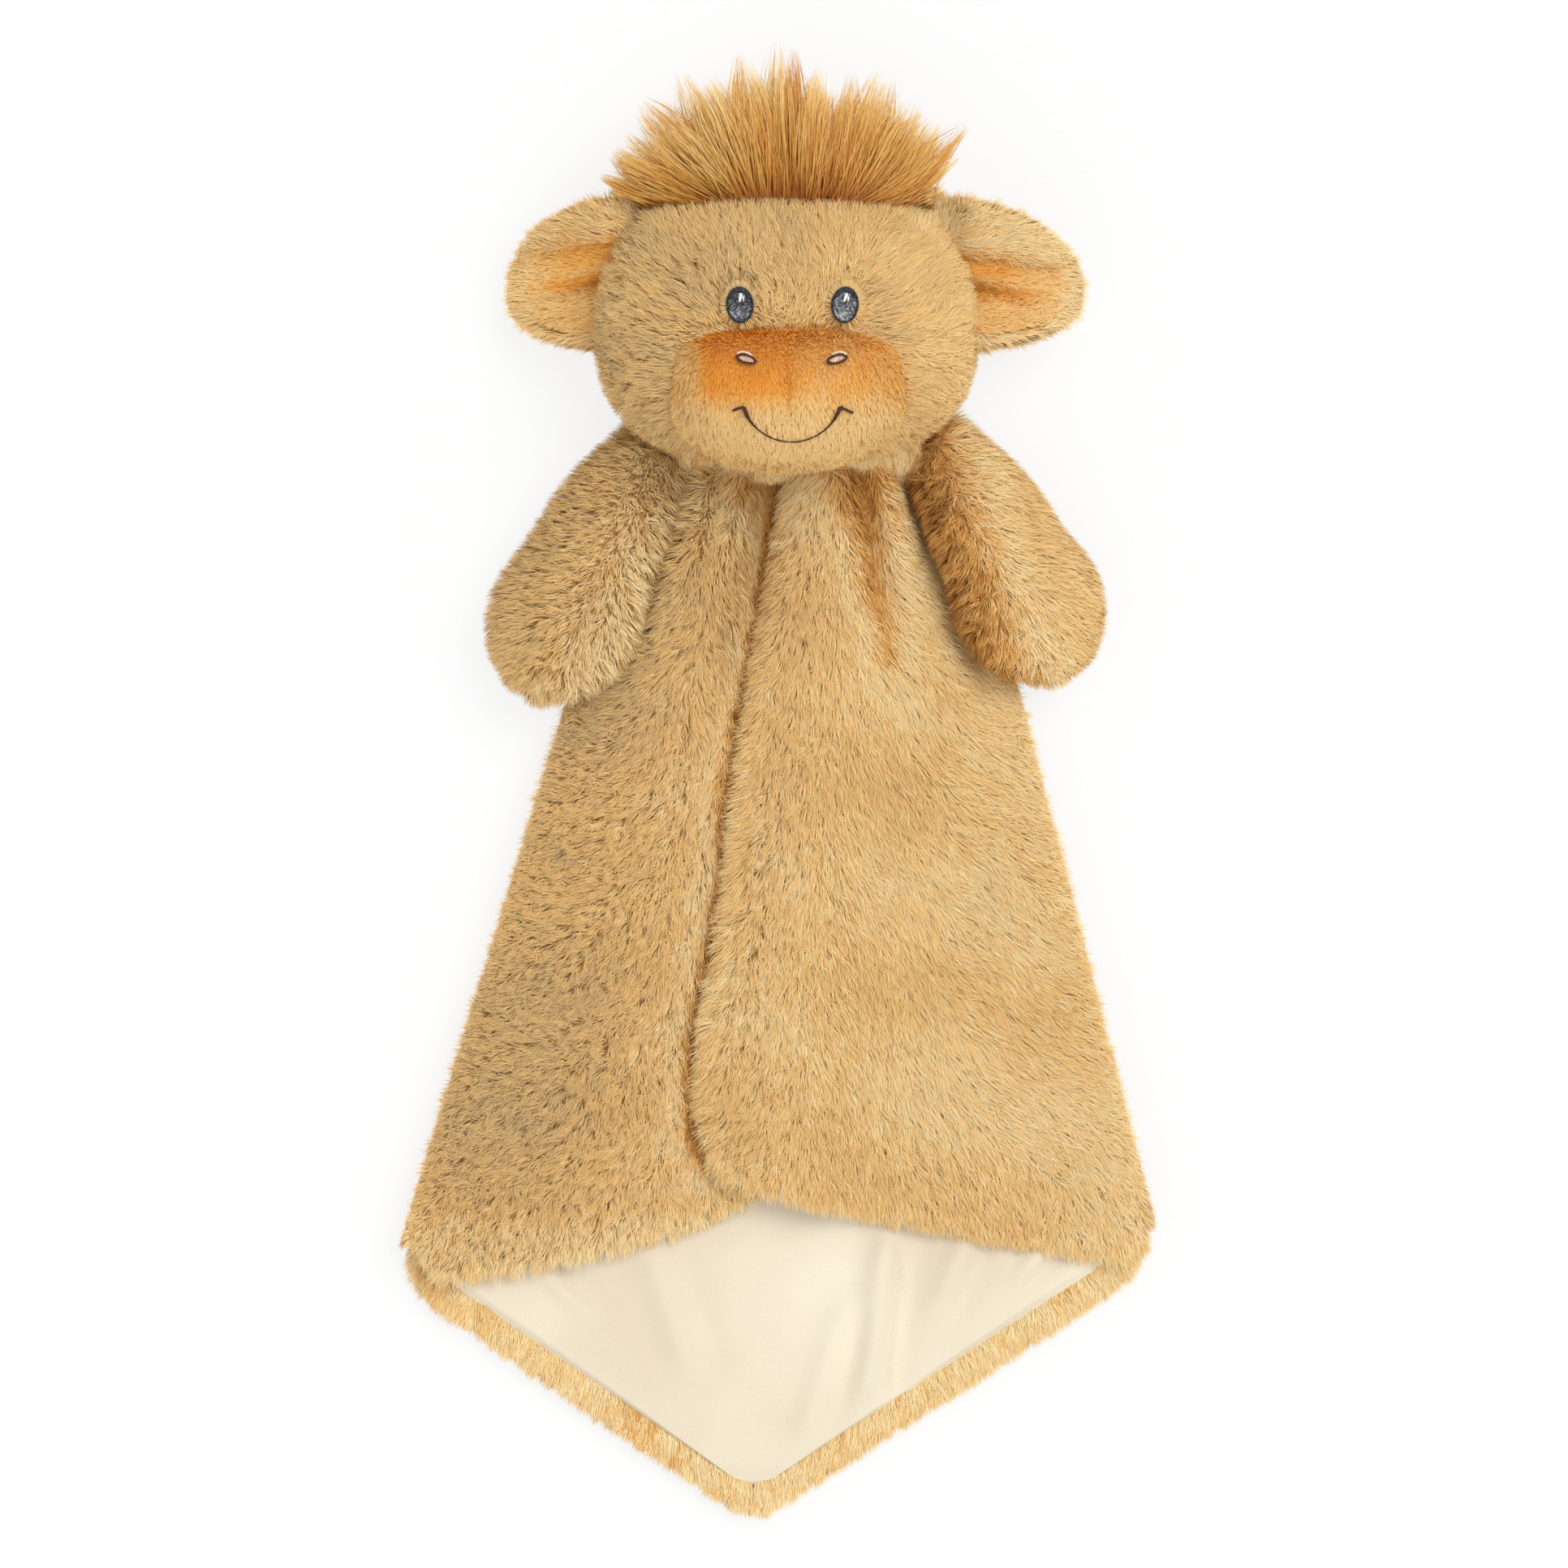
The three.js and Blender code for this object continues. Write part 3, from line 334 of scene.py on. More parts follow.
def ramp(nodes, links, value, stops):
    """Colours along a value, from stops of (place, linear red, green and blue)."""
    node = nodes.new("ShaderNodeValToRGB")
    elements = node.color_ramp.elements
    while len(elements) < len(stops):
        elements.new(0.5)
    for element, (place, *colour) in zip(elements, stops):
        element.position = place
        element.color = (*colour, 1.0)
    links.new(value, node.inputs["Fac"])
    return node.outputs["Color"]


def times(nodes, links, a, b):
    node = nodes.new("ShaderNodeMix")
    node.data_type, node.blend_type = "RGBA", "MULTIPLY"
    node.inputs[0].default_value = 1.0
    links.new(a, node.inputs[6])
    links.new(b, node.inputs[7])
    return node.outputs[2]


def noise(nodes, links, vector, scale, low, high, detail=2.0, dimensions="3D"):
    """Noise as a number from low to high."""
    node = nodes.new("ShaderNodeTexNoise")
    node.noise_dimensions = dimensions
    node.inputs["Scale"].default_value = scale
    node.inputs["Detail"].default_value = detail
    links.new(vector, node.inputs["W" if dimensions == "1D" else "Vector"])
    spread = nodes.new("ShaderNodeMapRange")
    for key, value in zip(("From Min", "From Max", "To Min", "To Max"), (0.3, 0.7, low, high)):
        spread.inputs[key].default_value = value
    links.new(node.outputs[0], spread.inputs["Value"])
    return spread.outputs["Result"]


def shader(name, roughness, sheen, tint):
    """A material for a slot of the record; its own name may add a word after a full stop."""
    material = bpy.data.materials.new(f"{name}.look")
    material["slot"] = name.split(".")[0]
    material.use_nodes = True
    tree = material.node_tree
    bsdf = tree.nodes["Principled BSDF"]
    bsdf.inputs["Roughness"].default_value = roughness
    bsdf.inputs["Specular IOR Level"].default_value = 0.25
    bsdf.inputs["Sheen Weight"].default_value = sheen
    bsdf.inputs["Sheen Roughness"].default_value = 0.5
    bsdf.inputs["Sheen Tint"].default_value = (*tint, 1.0)
    return material, tree.nodes, tree.links, bsdf


def strand_material(name, tones, shades, roughness=0.7, sheen=0.15, uneven=0.1):
    """For strands: u runs through the tones, v from the root's shade to the tip's."""
    tones = [(place, *linear(*colour)) for place, *colour in tones]
    material, nodes, links, bsdf = shader(name, roughness, sheen, tones[-1][1:])
    uv = nodes.new("ShaderNodeUVMap")
    uv.uv_map = "OFBake"
    parts = nodes.new("ShaderNodeSeparateXYZ")
    links.new(uv.outputs["UV"], parts.inputs[0])
    tone = ramp(nodes, links, parts.outputs["X"], tones)
    shade = ramp(nodes, links, parts.outputs["Y"], shades)
    fleck = noise(nodes, links, parts.outputs["X"], 160, 1 - uneven, 1 + uneven, 0.0, "1D")
    links.new(times(nodes, links, times(nodes, links, tone, shade), fleck), bsdf.inputs["Base Color"])
    return material


def cloth_material(name, dark, light, scale, bump, sheen=0.3, broad=60.0, grain=0.08):
    """For cloth: a fine pile in relief over broad soft changes of colour."""
    dark, light = linear(*dark), linear(*light)
    material, nodes, links, bsdf = shader(name, 0.9, sheen, light)
    place = nodes.new("ShaderNodeTexCoord").outputs["Object"]
    wide = noise(nodes, links, place, broad, 0.0, 1.0, 3.0)
    fine = noise(nodes, links, place, scale, 1 - grain, 1 + grain / 2, 3.0)
    colour = ramp(nodes, links, wide, [(0.0, *dark), (1.0, *light)])
    links.new(times(nodes, links, colour, fine), bsdf.inputs["Base Color"])
    relief = nodes.new("ShaderNodeBump")
    relief.inputs["Strength"].default_value = bump
    relief.inputs["Distance"].default_value = 0.0004
    links.new(fine, relief.inputs["Height"])
    links.new(relief.outputs["Normal"], bsdf.inputs["Normal"])
    return material


# Stops of (place, red, green, blue): shades from a strand's root to its tip, and then tones in sRGB
# In PILE_SHADE and PLUSH_SHADE the darkening towards the root is painted shade deep in the pile.
PILE_SHADE = [(0.0, 0.56, 0.45, 0.32), (0.2, 0.8, 0.73, 0.62),
              (0.5, 0.97, 0.96, 0.95), (1.0, 1.04, 1.04, 1.04)]
NAP_SHADE = [(0.0, 0.86, 0.8, 0.74), (0.4, 1, 1, 1), (1.0, 1, 1, 1)]
PLUSH_SHADE = [(0.0, 0.74, 0.64, 0.54), (0.45, 0.97, 0.96, 0.95), (1.0, 1.03, 1.03, 1.03)]
HAIR_SHADE = [(0.0, 0.28, 0.08, 0.02), (0.25, 0.52, 0.29, 0.1),
              (0.6, 0.8, 0.64, 0.38), (0.88, 1, 1.04, 1.04), (1.0, 1.02, 1.16, 1.32)]


def thread_material(name, tones):
    return strand_material(name, tones, NAP_SHADE, 0.65, 0.0)


# The fur's highest tones, orange-brown and then dark brown, are painted shade where the code uses them: in the
# pleat's valley, towards the neck, on the right arm's inner half, along the muzzle's upper edge and beside the right
# front's loose edge.
tan_fur = strand_material("tan_fur", [
    (0.0, 204, 176, 128), (0.18, 232, 200, 142), (0.35, 248, 207, 132), (0.55, 255, 238, 188),
    (0.72, 248, 198, 114), (0.87, 222, 162, 82), (1.0, 148, 86, 38)], PILE_SHADE, 0.75, 0.3, 0.14)
long_hair = strand_material("long_hair", [
    (0.0, 255, 226, 158), (0.5, 250, 199, 110), (1.0, 218, 146, 62)], HAIR_SHADE, 0.6, 0.08, 0.14)
orange_plush = strand_material("orange_plush", [
    (0.0, 255, 224, 158), (0.35, 255, 213, 136), (0.65, 255, 194, 92),
    (1.0, 255, 172, 58)], PLUSH_SHADE, 0.75, 0.4)
tan_cloth = cloth_material("tan_fur.cloth", (196, 152, 92), (216, 172, 110), 900, 0.4)
hair_cloth = cloth_material("long_hair.cloth", (120, 66, 28), (150, 88, 40), 900, 0.4)
orange_cloth = cloth_material("orange_plush.cloth", (228, 162, 90), (244, 180, 108), 1200, 0.4)
cream_lining = cloth_material("cream_lining", (226, 212, 187), (240, 231, 209), 1500, 0.2, 0.4, 14.0, 0.025)
dark_thread = thread_material("dark_thread", [(0.0, 34, 34, 40), (1.0, 74, 76, 82)])
grey_thread = thread_material("grey_thread", [(0.0, 60, 64, 72), (0.5, 126, 132, 138), (1.0, 216, 218, 218)])
white_thread = thread_material("white_thread", [(0.0, 232, 234, 236), (1.0, 250, 250, 250)])
brown_thread = thread_material("brown_thread", [(0.0, 62, 34, 26), (1.0, 104, 60, 46)])
pink_thread = thread_material("white_thread.pink", [(0.0, 214, 164, 140), (1.0, 250, 232, 212)])


# Pile

PILE_STEPS, HAIR_STEPS = 2, 7  # segments of each strand
MOST_TRIANGLES = 190000  # in one object of strands
FLOOR_GAP = 0.15  # the least height of a strand over the floor

def nearest(places, points):
    """For each point, the index of the place nearest to it."""
    tree = kdtree.KDTree(len(places))
    for i, place in enumerate(places):
        tree.insert(place, i)
    tree.balance()
    return np.array([tree.find(point)[1] for point in points])


def clumps_of(roots, spacing, seed):
    """For each root, the index of the root that leads its clump."""
    rng = np.random.default_rng(seed)
    box = np.ptp(roots, axis=0)
    order = rng.permutation(len(roots))
    cell = np.floor(roots[order] / spacing).astype(int)
    _, first = np.unique(cell, axis=0, return_index=True)
    leaders = order[first]
    leaders = leaders[rng.random(len(leaders)) < 0.75] if box.max() > 3 * spacing else leaders
    return leaders[nearest(roots[leaders], roots)]


def blades(middles, across, normals, tones, half, shade):
    """Flat tapered strands round their middle lines (strands, steps + 1, 3).

    half(k) is half their width and shade(k) the v of their uv, at k from 0 at the root to 1 at the tip.
    Returns arrays of points (strands, 2 * steps + 1, 3), normals and uv."""
    points, uv = [], []
    for i, k in enumerate(np.linspace(0, 1, middles.shape[1])):
        for side in ((0,) if k == 1 else (-1, 1)):
            points.append(middles[:, i] + across * half(k) * side)
            uv.append(np.stack([tones + 0.006 * side, shade(k) + 0 * tones], 1))
    return np.stack(points, 1), np.repeat(normals[:, None], len(points), 1), np.stack(uv, 1)


def grow(surface, density, length, comb, seed, lay=44, width=0.27, spacing=1.4, drawn=0.26,
         tone=0.4, pale=0.08, keep=None, curl=18, short=0.22, stray=0.3, tousle=0.2):
    """Strands on a surface, as blades() gives them.

    density is strands for each square millimetre. comb(points, normals) is the way that they lie, lay
    their angle over the surface in degrees, drawn how far tips come together in a clump, stray and
    tousle how far each strand and each clump leave their way. A higher pale makes their roots less dark.
    length, lay, drawn, tone, pale and tousle are numbers or functions of the roots."""

    def over(value):
        return value(root) if callable(value) else np.full(len(root), float(value))

    rng = np.random.default_rng(seed)
    t = surface.triangles()
    corners = surface.points[t]
    area = np.linalg.norm(np.cross(corners[:, 1] - corners[:, 0], corners[:, 2] - corners[:, 0]), axis=1) / 2
    count = int(area.sum() * density)
    pick = rng.choice(len(t), count, p=area / area.sum())
    r = np.sqrt(rng.random(count))
    s = rng.random(count)
    share = np.stack([1 - r, r * (1 - s), r * s], 1)[..., None]
    root = (corners[pick] * share).sum(1)
    normal = unit((surface.normals()[t[pick]] * share).sum(1))
    if keep is not None:
        stays = keep(root, normal, rng)
        root, normal = root[stays], normal[stays]
        count = len(root)
    leader = clumps_of(root, spacing, seed + 1)
    rest = rng.random(count)
    size = over(length) * (1 - short * rest ** 2)
    flow = comb(root, normal)
    flow = flow + stray * rng.normal(size=flow.shape) + over(tousle)[:, None] * rng.normal(size=flow.shape)[leader]
    flow = unit(flow - normal * np.einsum("ij,ij->i", flow, normal)[:, None])
    angle = np.radians(over(lay) + 7 * rng.normal(size=count))[:, None]
    angle = np.clip(angle, 0.05, 1.5)

    def at(k):
        turn = angle + np.radians(curl) * (0.5 - k)
        return root + (flow * np.cos(turn) + normal * np.sin(turn)) * size[:, None] * k

    bright = rng.normal(size=count)[leader] * 0.05 + rng.normal(size=count) * 0.07
    shade = over(pale)
    tones = np.clip(over(tone) + bright, 0.02, 0.98)
    together_share = over(drawn)[:, None]
    middles = []
    for k in np.linspace(0, 1, PILE_STEPS + 1):
        place = at(k)
        together = place[leader] + (root - root[leader]) * (1 - k * 0.9)
        middles.append(mix(place, together, together_share * k))
    middles = np.stack(middles, 1)
    along = unit(middles[:, 1] - middles[:, 0])
    across = unit(np.cross(along, normal))
    twist = rng.normal(size=(count, 1)) * 0.45
    across = across * np.cos(twist) + np.cross(along, across) * np.sin(twist)
    flat = unit(np.cross(across, along))
    soft = unit(flat * np.sign(np.einsum("ij,ij->i", flat, normal))[:, None] + 1.4 * normal)
    blade = blades(middles, across, soft, tones,
                   lambda k: width / 2 * (1 - k ** 2 * 0.8), lambda k: mix(shade, 0.98, k))
    blade[0][..., 2] = np.maximum(blade[0][..., 2], FLOOR_GAP)
    return blade


def straight(*way):
    """For strands that all lie one way."""
    return lambda points, normals: np.tile(way, (len(points), 1))


def strands(name, grown, material, fasten):
    """Objects from grown strands, few enough in each, and fastened by fasten(obj)."""
    points, normals, uv = (np.concatenate([g[i] for g in grown]) for i in range(3))
    per = points.shape[1]
    steps = (per - 1) // 2
    most = MOST_TRIANGLES // (2 * steps - 1)
    parts = math.ceil(len(points) / most)
    made = []
    for i in range(parts):
        chosen = slice(i * len(points) // parts, (i + 1) * len(points) // parts)
        n = len(points[chosen])
        base = np.arange(n)[:, None] * per
        quads = [base + [2 * k, 2 * k + 1, 2 * k + 3, 2 * k + 2] for k in range(steps - 1)]
        surface = Surface(points[chosen], np.vstack(quads), base + [per - 3, per - 2, per - 1])
        label = name if parts == 1 else f"{name}_{i + 1}"
        obj = make(label, surface, material, uv[chosen].reshape(-1, 2), normals[chosen].reshape(-1, 3))
        made.append(placed(obj, fasten))
    return made


# Head

def head_swell(y, fullest, full, top, bottom):
    rise = np.clip((y - fullest) / (HEAD_TOP - fullest), 0, 1)
    drop = np.clip((fullest - y) / (fullest - HEAD_BOTTOM), 0, 1)
    above = top + (full - top) * (1 - rise ** 2) ** 0.65
    below = bottom + (full - bottom) * (1 - drop ** 2.4) ** 0.5
    return np.where(y > fullest, above, below)


def head_sizes(y):
    """Half the head's width at Y, and its depth in front of the seam and behind it."""
    return (head_swell(y, HEAD_WIDEST_Y, HEAD_HALF, TOP_HALF, NECK_HALF),
            head_swell(y, FACE_FULLEST_Y, FACE_DEPTH, TOP_DEPTH, NECK_DEPTH),
            head_swell(y, FACE_FULLEST_Y, BACK_DEPTH, TOP_DEPTH, NECK_DEPTH))


def head_rings(inset, rings=44, around=72):
    along = -np.cos(np.linspace(0, math.pi, rings + 1))
    y = (HEAD_TOP + HEAD_BOTTOM) / 2 + (HEAD_TOP - HEAD_BOTTOM) / 2 * along
    inset = inset * (1 - 0.65 * smooth((along - 0.8) / 0.2))
    wide, front, back = (np.maximum(size - inset, 0.5) for size in head_sizes(y))
    angle = np.linspace(0, 2 * math.pi, around, endpoint=False)
    across = bent(np.cos(angle), 2 / SQUARENESS)
    lift = bent(np.sin(angle), 2 / SQUARENESS)
    x = HEAD_X + wide[:, None] * across
    z = SEAM_Z + np.where(lift > 0, front[:, None], back[:, None]) * lift
    return np.stack([x, np.repeat((y - inset * along)[:, None], around, 1), np.maximum(z, 0.6)], -1)


def face_z(x, y):
    """Level of the face's fur at a plan point."""
    wide, front, _ = head_sizes(y)
    return SEAM_Z + front * np.maximum(0, 1 - np.abs((x - HEAD_X) / wide) ** SQUARENESS) ** (1 / SQUARENESS)


def muzzle_share(x, y):
    """Below 1 inside the muzzle's outline."""
    power = np.where(y > MUZZLE_Y, MUZZLE_SQUARENESS[1], MUZZLE_SQUARENESS[0])
    a = np.abs((x - HEAD_X) / MUZZLE_HALF) ** power
    b = np.abs((y - MUZZLE_Y) / MUZZLE_HALF_LENGTH) ** power
    return (a + b) ** (1 / power)


def muzzle_crease(x, y, depth):
    return depth * np.exp(-(((x - HEAD_X) / 1.4) ** 2)) * smooth((y - 96) / 8)


def muzzle_z(x, y):
    """Level of the muzzle's nap at a plan point."""
    share = np.clip(muzzle_share(x, y), 0, 1)
    return MUZZLE_Z + MUZZLE_RISE * (1 - share ** SQUARENESS) ** (1 / SQUARENESS) - muzzle_crease(x, y, 1.3)


EYES = {side: (HEAD_X + 1.2 + SIGN[side] * 14.4, 129.7) for side in SIDES}


def outward_on_head(points, normals):
    away = points - np.array([HEAD_X, 113.0, 20.0])
    flow = np.stack([away[:, 0] * 0.9, away[:, 1] * 1.1, np.minimum(away[:, 2], 0) * 0.6], 1)
    flow = unit(flow)
    flow[:, 0] += 0.35 * waves(points, 34, 11)
    flow[:, 1] += 0.35 * waves(points, 30, 12)
    return flow


def head_tone(points):
    # Painted light: the tone is lighter towards the head's right side. Painted shade: a dark orange-brown line along
    # the muzzle's upper edge, in the crease where it meets the forehead.
    side = smooth((points[:, 0] - HEAD_X + 5) / 60)
    warm = 0.25 + 0.09 * side + 0.06 * waves(points, 26, 13)
    muzzle_edge_shade = np.exp(-(((muzzle_share(points[:, 0], points[:, 1]) - 0.95) / 0.035) ** 2))
    above = smooth((points[:, 1] - 114) / 8) * (1 - 0.75 * smooth((np.abs(points[:, 0] - HEAD_X) - 9) / 12))
    return mix(warm, 0.95, above * muzzle_edge_shade * smooth((points[:, 2] - 35) / 8))


def from_eyes(x, y, half_width, half_height):
    """Below 1 inside an oval round the nearer eye."""
    return np.min([np.hypot((x - ex) / half_width, (y - ey) / half_height) for ex, ey in EYES.values()], 0)


def head_keep(points, normals, rng):
    x, y, z = points.T
    under_muzzle = (muzzle_share(x, y) < 0.92) & (z > 38)
    under_eye = (from_eyes(x, y, 3.9, 5.1) < 1) & (z > 40)
    return ~under_muzzle & ~under_eye & ((z > 30) | (rng.random(len(z)) < 0.6))


def head_length(points):
    x, y, z = points.T
    near_eye = 0.35 + 0.65 * smooth((from_eyes(x, y, 4.2, 5.4) - 1) / 0.9)
    over_muzzle = 0.42 + 0.58 * np.maximum(smooth((muzzle_share(x, y) - 0.96) / 0.16), smooth((118 - y) / 6))
    return np.where(z > 40, 6.0 * near_eye * over_muzzle, 6.0)


def head_side(points):
    """0 on the left, where the eye looks into the pile, to 1 on the right, where the pile lies smooth."""
    return smooth((points[:, 0] - HEAD_X + 42) / 62)


head_skin = make("head_skin", loft(head_rings(PILE)), tan_cloth)
puffed(head_skin, 4.5, 2.5, lambda p: (abs(p[:, 2] - SEAM_Z) < 2.5) | (p[:, 1] > 150) | (p[:, 1] < 95))
head_surface = read_back(head_skin)
placed(head_skin, rides("head"), "head_face_skin", "head_back_skin", "head_stuffing")
# The pile's roots are darker on the head's left side, where pale is low: painted shade.
strands("head_fur", [grow(head_surface, 5.5, head_length, outward_on_head, 21,
                          lay=by(head_side, 60, 42), tone=head_tone, tousle=by(head_side, 0.34, 0.2),
                          drawn=by(head_side, 0.3, 0.24), pale=by(head_side, 0.05, 0.16), keep=head_keep)],
        tan_fur, rides("head"))

# Muzzle


def muzzle_panel(side):
    """Half of the muzzle's rounded cushion, from its centre seam outwards."""
    inset = 1.2
    tilt = np.linspace(-0.25, math.pi / 2, 26)[:, None]
    angle = (np.linspace(-math.pi / 2, math.pi / 2, 41) + (0 if side == "right" else math.pi))[None]
    reach = np.cos(tilt) ** (2 / SQUARENESS)
    lift = bent(np.sin(tilt), 2 / SQUARENESS)
    power = np.where(np.sin(angle) > 0, MUZZLE_SQUARENESS[1], MUZZLE_SQUARENESS[0])
    x = HEAD_X + (MUZZLE_HALF - inset) * reach * bent(np.cos(angle), 2 / power)
    y = MUZZLE_Y + (MUZZLE_HALF_LENGTH - inset) * reach * bent(np.sin(angle), 2 / power)
    z = MUZZLE_Z + (MUZZLE_RISE - inset) * lift - muzzle_crease(x, y, 1.5)
    return grid(np.stack([x, y, np.broadcast_to(z, x.shape)], -1))


def muzzle_tone(points):
    x, y, z = points.T
    top = smooth((y - 98) / 11) * mix(0.25, 1.0, smooth((x - HEAD_X + 27) / 7))
    left = 0.55 + 0.45 * smooth((HEAD_X + 10 - x) / 20)
    seam = 0.18 * np.exp(-(((x - HEAD_X) / 1.2) ** 2)) * smooth((y - 98) / 6)
    return 0.06 + 0.86 * top * left + seam + 0.05 * waves(points, 14, 31)


def at_muzzle_rim(points):
    """0 on the muzzle's cushion to 1 at its rim, where it meets the head's pile."""
    return smooth((muzzle_share(points[:, 0], points[:, 1]) - 0.84) / 0.14) * smooth((124 - points[:, 1]) / 8)


def muzzle_length(points):
    return 2.2 + 0.8 * smooth((106 - points[:, 1]) / 10) + 1.6 * at_muzzle_rim(points)


def muzzle_flow(points, normals):
    down = np.array([0.0, -1.0, 0.0]) + 0.3 * normals
    outward = unit((points - (HEAD_X, MUZZLE_Y + 4, 0)) * (1, 1, 0)) + (0, -0.3, 0)
    return mix(down, outward, at_muzzle_rim(points)[:, None])


for side in SIDES:
    surface = muzzle_panel(side)
    placed(make(f"muzzle_panel_{side}", surface, orange_cloth), rides("head"), f"muzzle_{side}_panel")
    nap = grow(surface, 11, muzzle_length, muzzle_flow,
               41 + SIGN[side], lay=lambda p: 36 + 12 * smooth((106 - p[:, 1]) / 10), width=0.2, spacing=1.0,
               drawn=0.28, tone=muzzle_tone, pale=0.1, stray=0.28)
    strands(f"muzzle_nap_{side}", [nap], orange_plush, rides("head"))


# Embroidery

THREAD_ARCH = 0.34  # how far a stitch's middle stands over its ends, which are pulled in

def stitches(name, segments, level, lift, width, material, tones, *replaced):
    """Threads laid straight from point to point on a surface, with their ends pulled in."""
    segments = np.asarray(segments, float)
    count = len(segments)
    width = np.broadcast_to(np.asarray(width, float), (count,))[:, None]
    run = segments[:, 1] - segments[:, 0]
    across = unit(np.stack([-run[:, 1], run[:, 0]], 1))
    shares = np.array([0.0, 0.12, 0.35, 0.65, 0.88, 1.0])
    arch = np.array([-0.7, 0.45, 1.0, 1.0, 0.45, -0.7]) * THREAD_ARCH
    profile = [(-0.5, -0.6), (-0.36, 0.45), (0.0, 0.8), (0.36, 0.45), (0.5, -0.6)]
    place = segments[:, None, 0] + run[:, None] * shares[None, :, None]
    rows = []
    for offset, height in profile:
        plan = place + across[:, None] * offset * width[..., None]
        rows.append(raised(plan, level(place[..., 0], place[..., 1]) + lift + arch[None] + height * width * 0.6))
    points = np.stack(rows, 2)
    n, s, p = points.shape[:3]
    k = (np.arange(n)[:, None, None] * s * p + np.arange(s - 1)[None, :, None] * p + np.arange(p - 1)).ravel()
    surface = Surface(points, np.stack([k, k + p, k + p + 1, k + 1], 1)).facing((0, 0, 1))
    u = np.clip(np.broadcast_to(np.asarray(tones, float), (count,)), 0.03, 0.97)[:, None, None]
    v = 0.35 + 0.6 * np.sin(np.pi * shares)[None, :, None]
    uv = np.stack(np.broadcast_arrays(u + np.linspace(-0.012, 0.012, p)[None, None], v + 0 * u + 0 * k[0]), -1)
    placed(make(name, surface, material, uv.reshape(-1, 2)), rides("head"), *replaced)


def turned(points, centre, degrees):
    c, s = math.cos(math.radians(degrees)), math.sin(math.radians(degrees))
    return np.asarray(points) @ np.array([[c, s], [-s, c]]) + centre


def ring_stitches(centre, width, height, tilt, depth, count):
    """Short threads across an oval's rim, from its edge inwards."""
    angle = np.linspace(0, 2 * math.pi, count, endpoint=False)
    rim = np.stack([np.cos(angle) * width / 2, np.sin(angle) * height / 2], 1)
    lean = np.stack([np.cos(angle + 0.35), np.sin(angle + 0.35)], 1)
    return turned(np.stack([rim, rim - lean * depth], 1), centre, tilt)


def fill_stitches(centre, width, height, tilt, spacing, slant, piece):
    """Rows of broken threads that fill an oval, on a slant."""
    rng = np.random.default_rng(5)
    run = np.array([math.cos(math.radians(slant)), math.sin(math.radians(slant))])
    side = np.array([-run[1], run[0]])
    reach = max(width, height)
    found = []
    for offset in np.arange(-reach, reach, spacing):
        start = -reach + rng.uniform(0, piece)
        while start < reach:
            found.append((side * offset + run * start, side * offset + run * (start + piece * 0.97)))
            start += piece
    found = np.array(found)
    steps = np.linspace(0, 1, 9)[None, :, None]
    dense = found[:, :1] + (found[:, 1:] - found[:, :1]) * steps
    inside = (dense[..., 0] / (width / 2)) ** 2 + (dense[..., 1] / (height / 2)) ** 2 < 1
    kept = []
    for line, mask in zip(dense, inside):
        if mask.sum() > 2:
            kept.append(line[mask][[0, -1]])
    return turned(np.array(kept), centre, tilt)


thread_rng = np.random.default_rng(77)


def varied(lines):
    """A random tone for each thread."""
    return thread_rng.random(len(lines))


def on_upper_side(lines, centre, above):
    return lines[lines[:, 0, 1] > centre[1] + above]


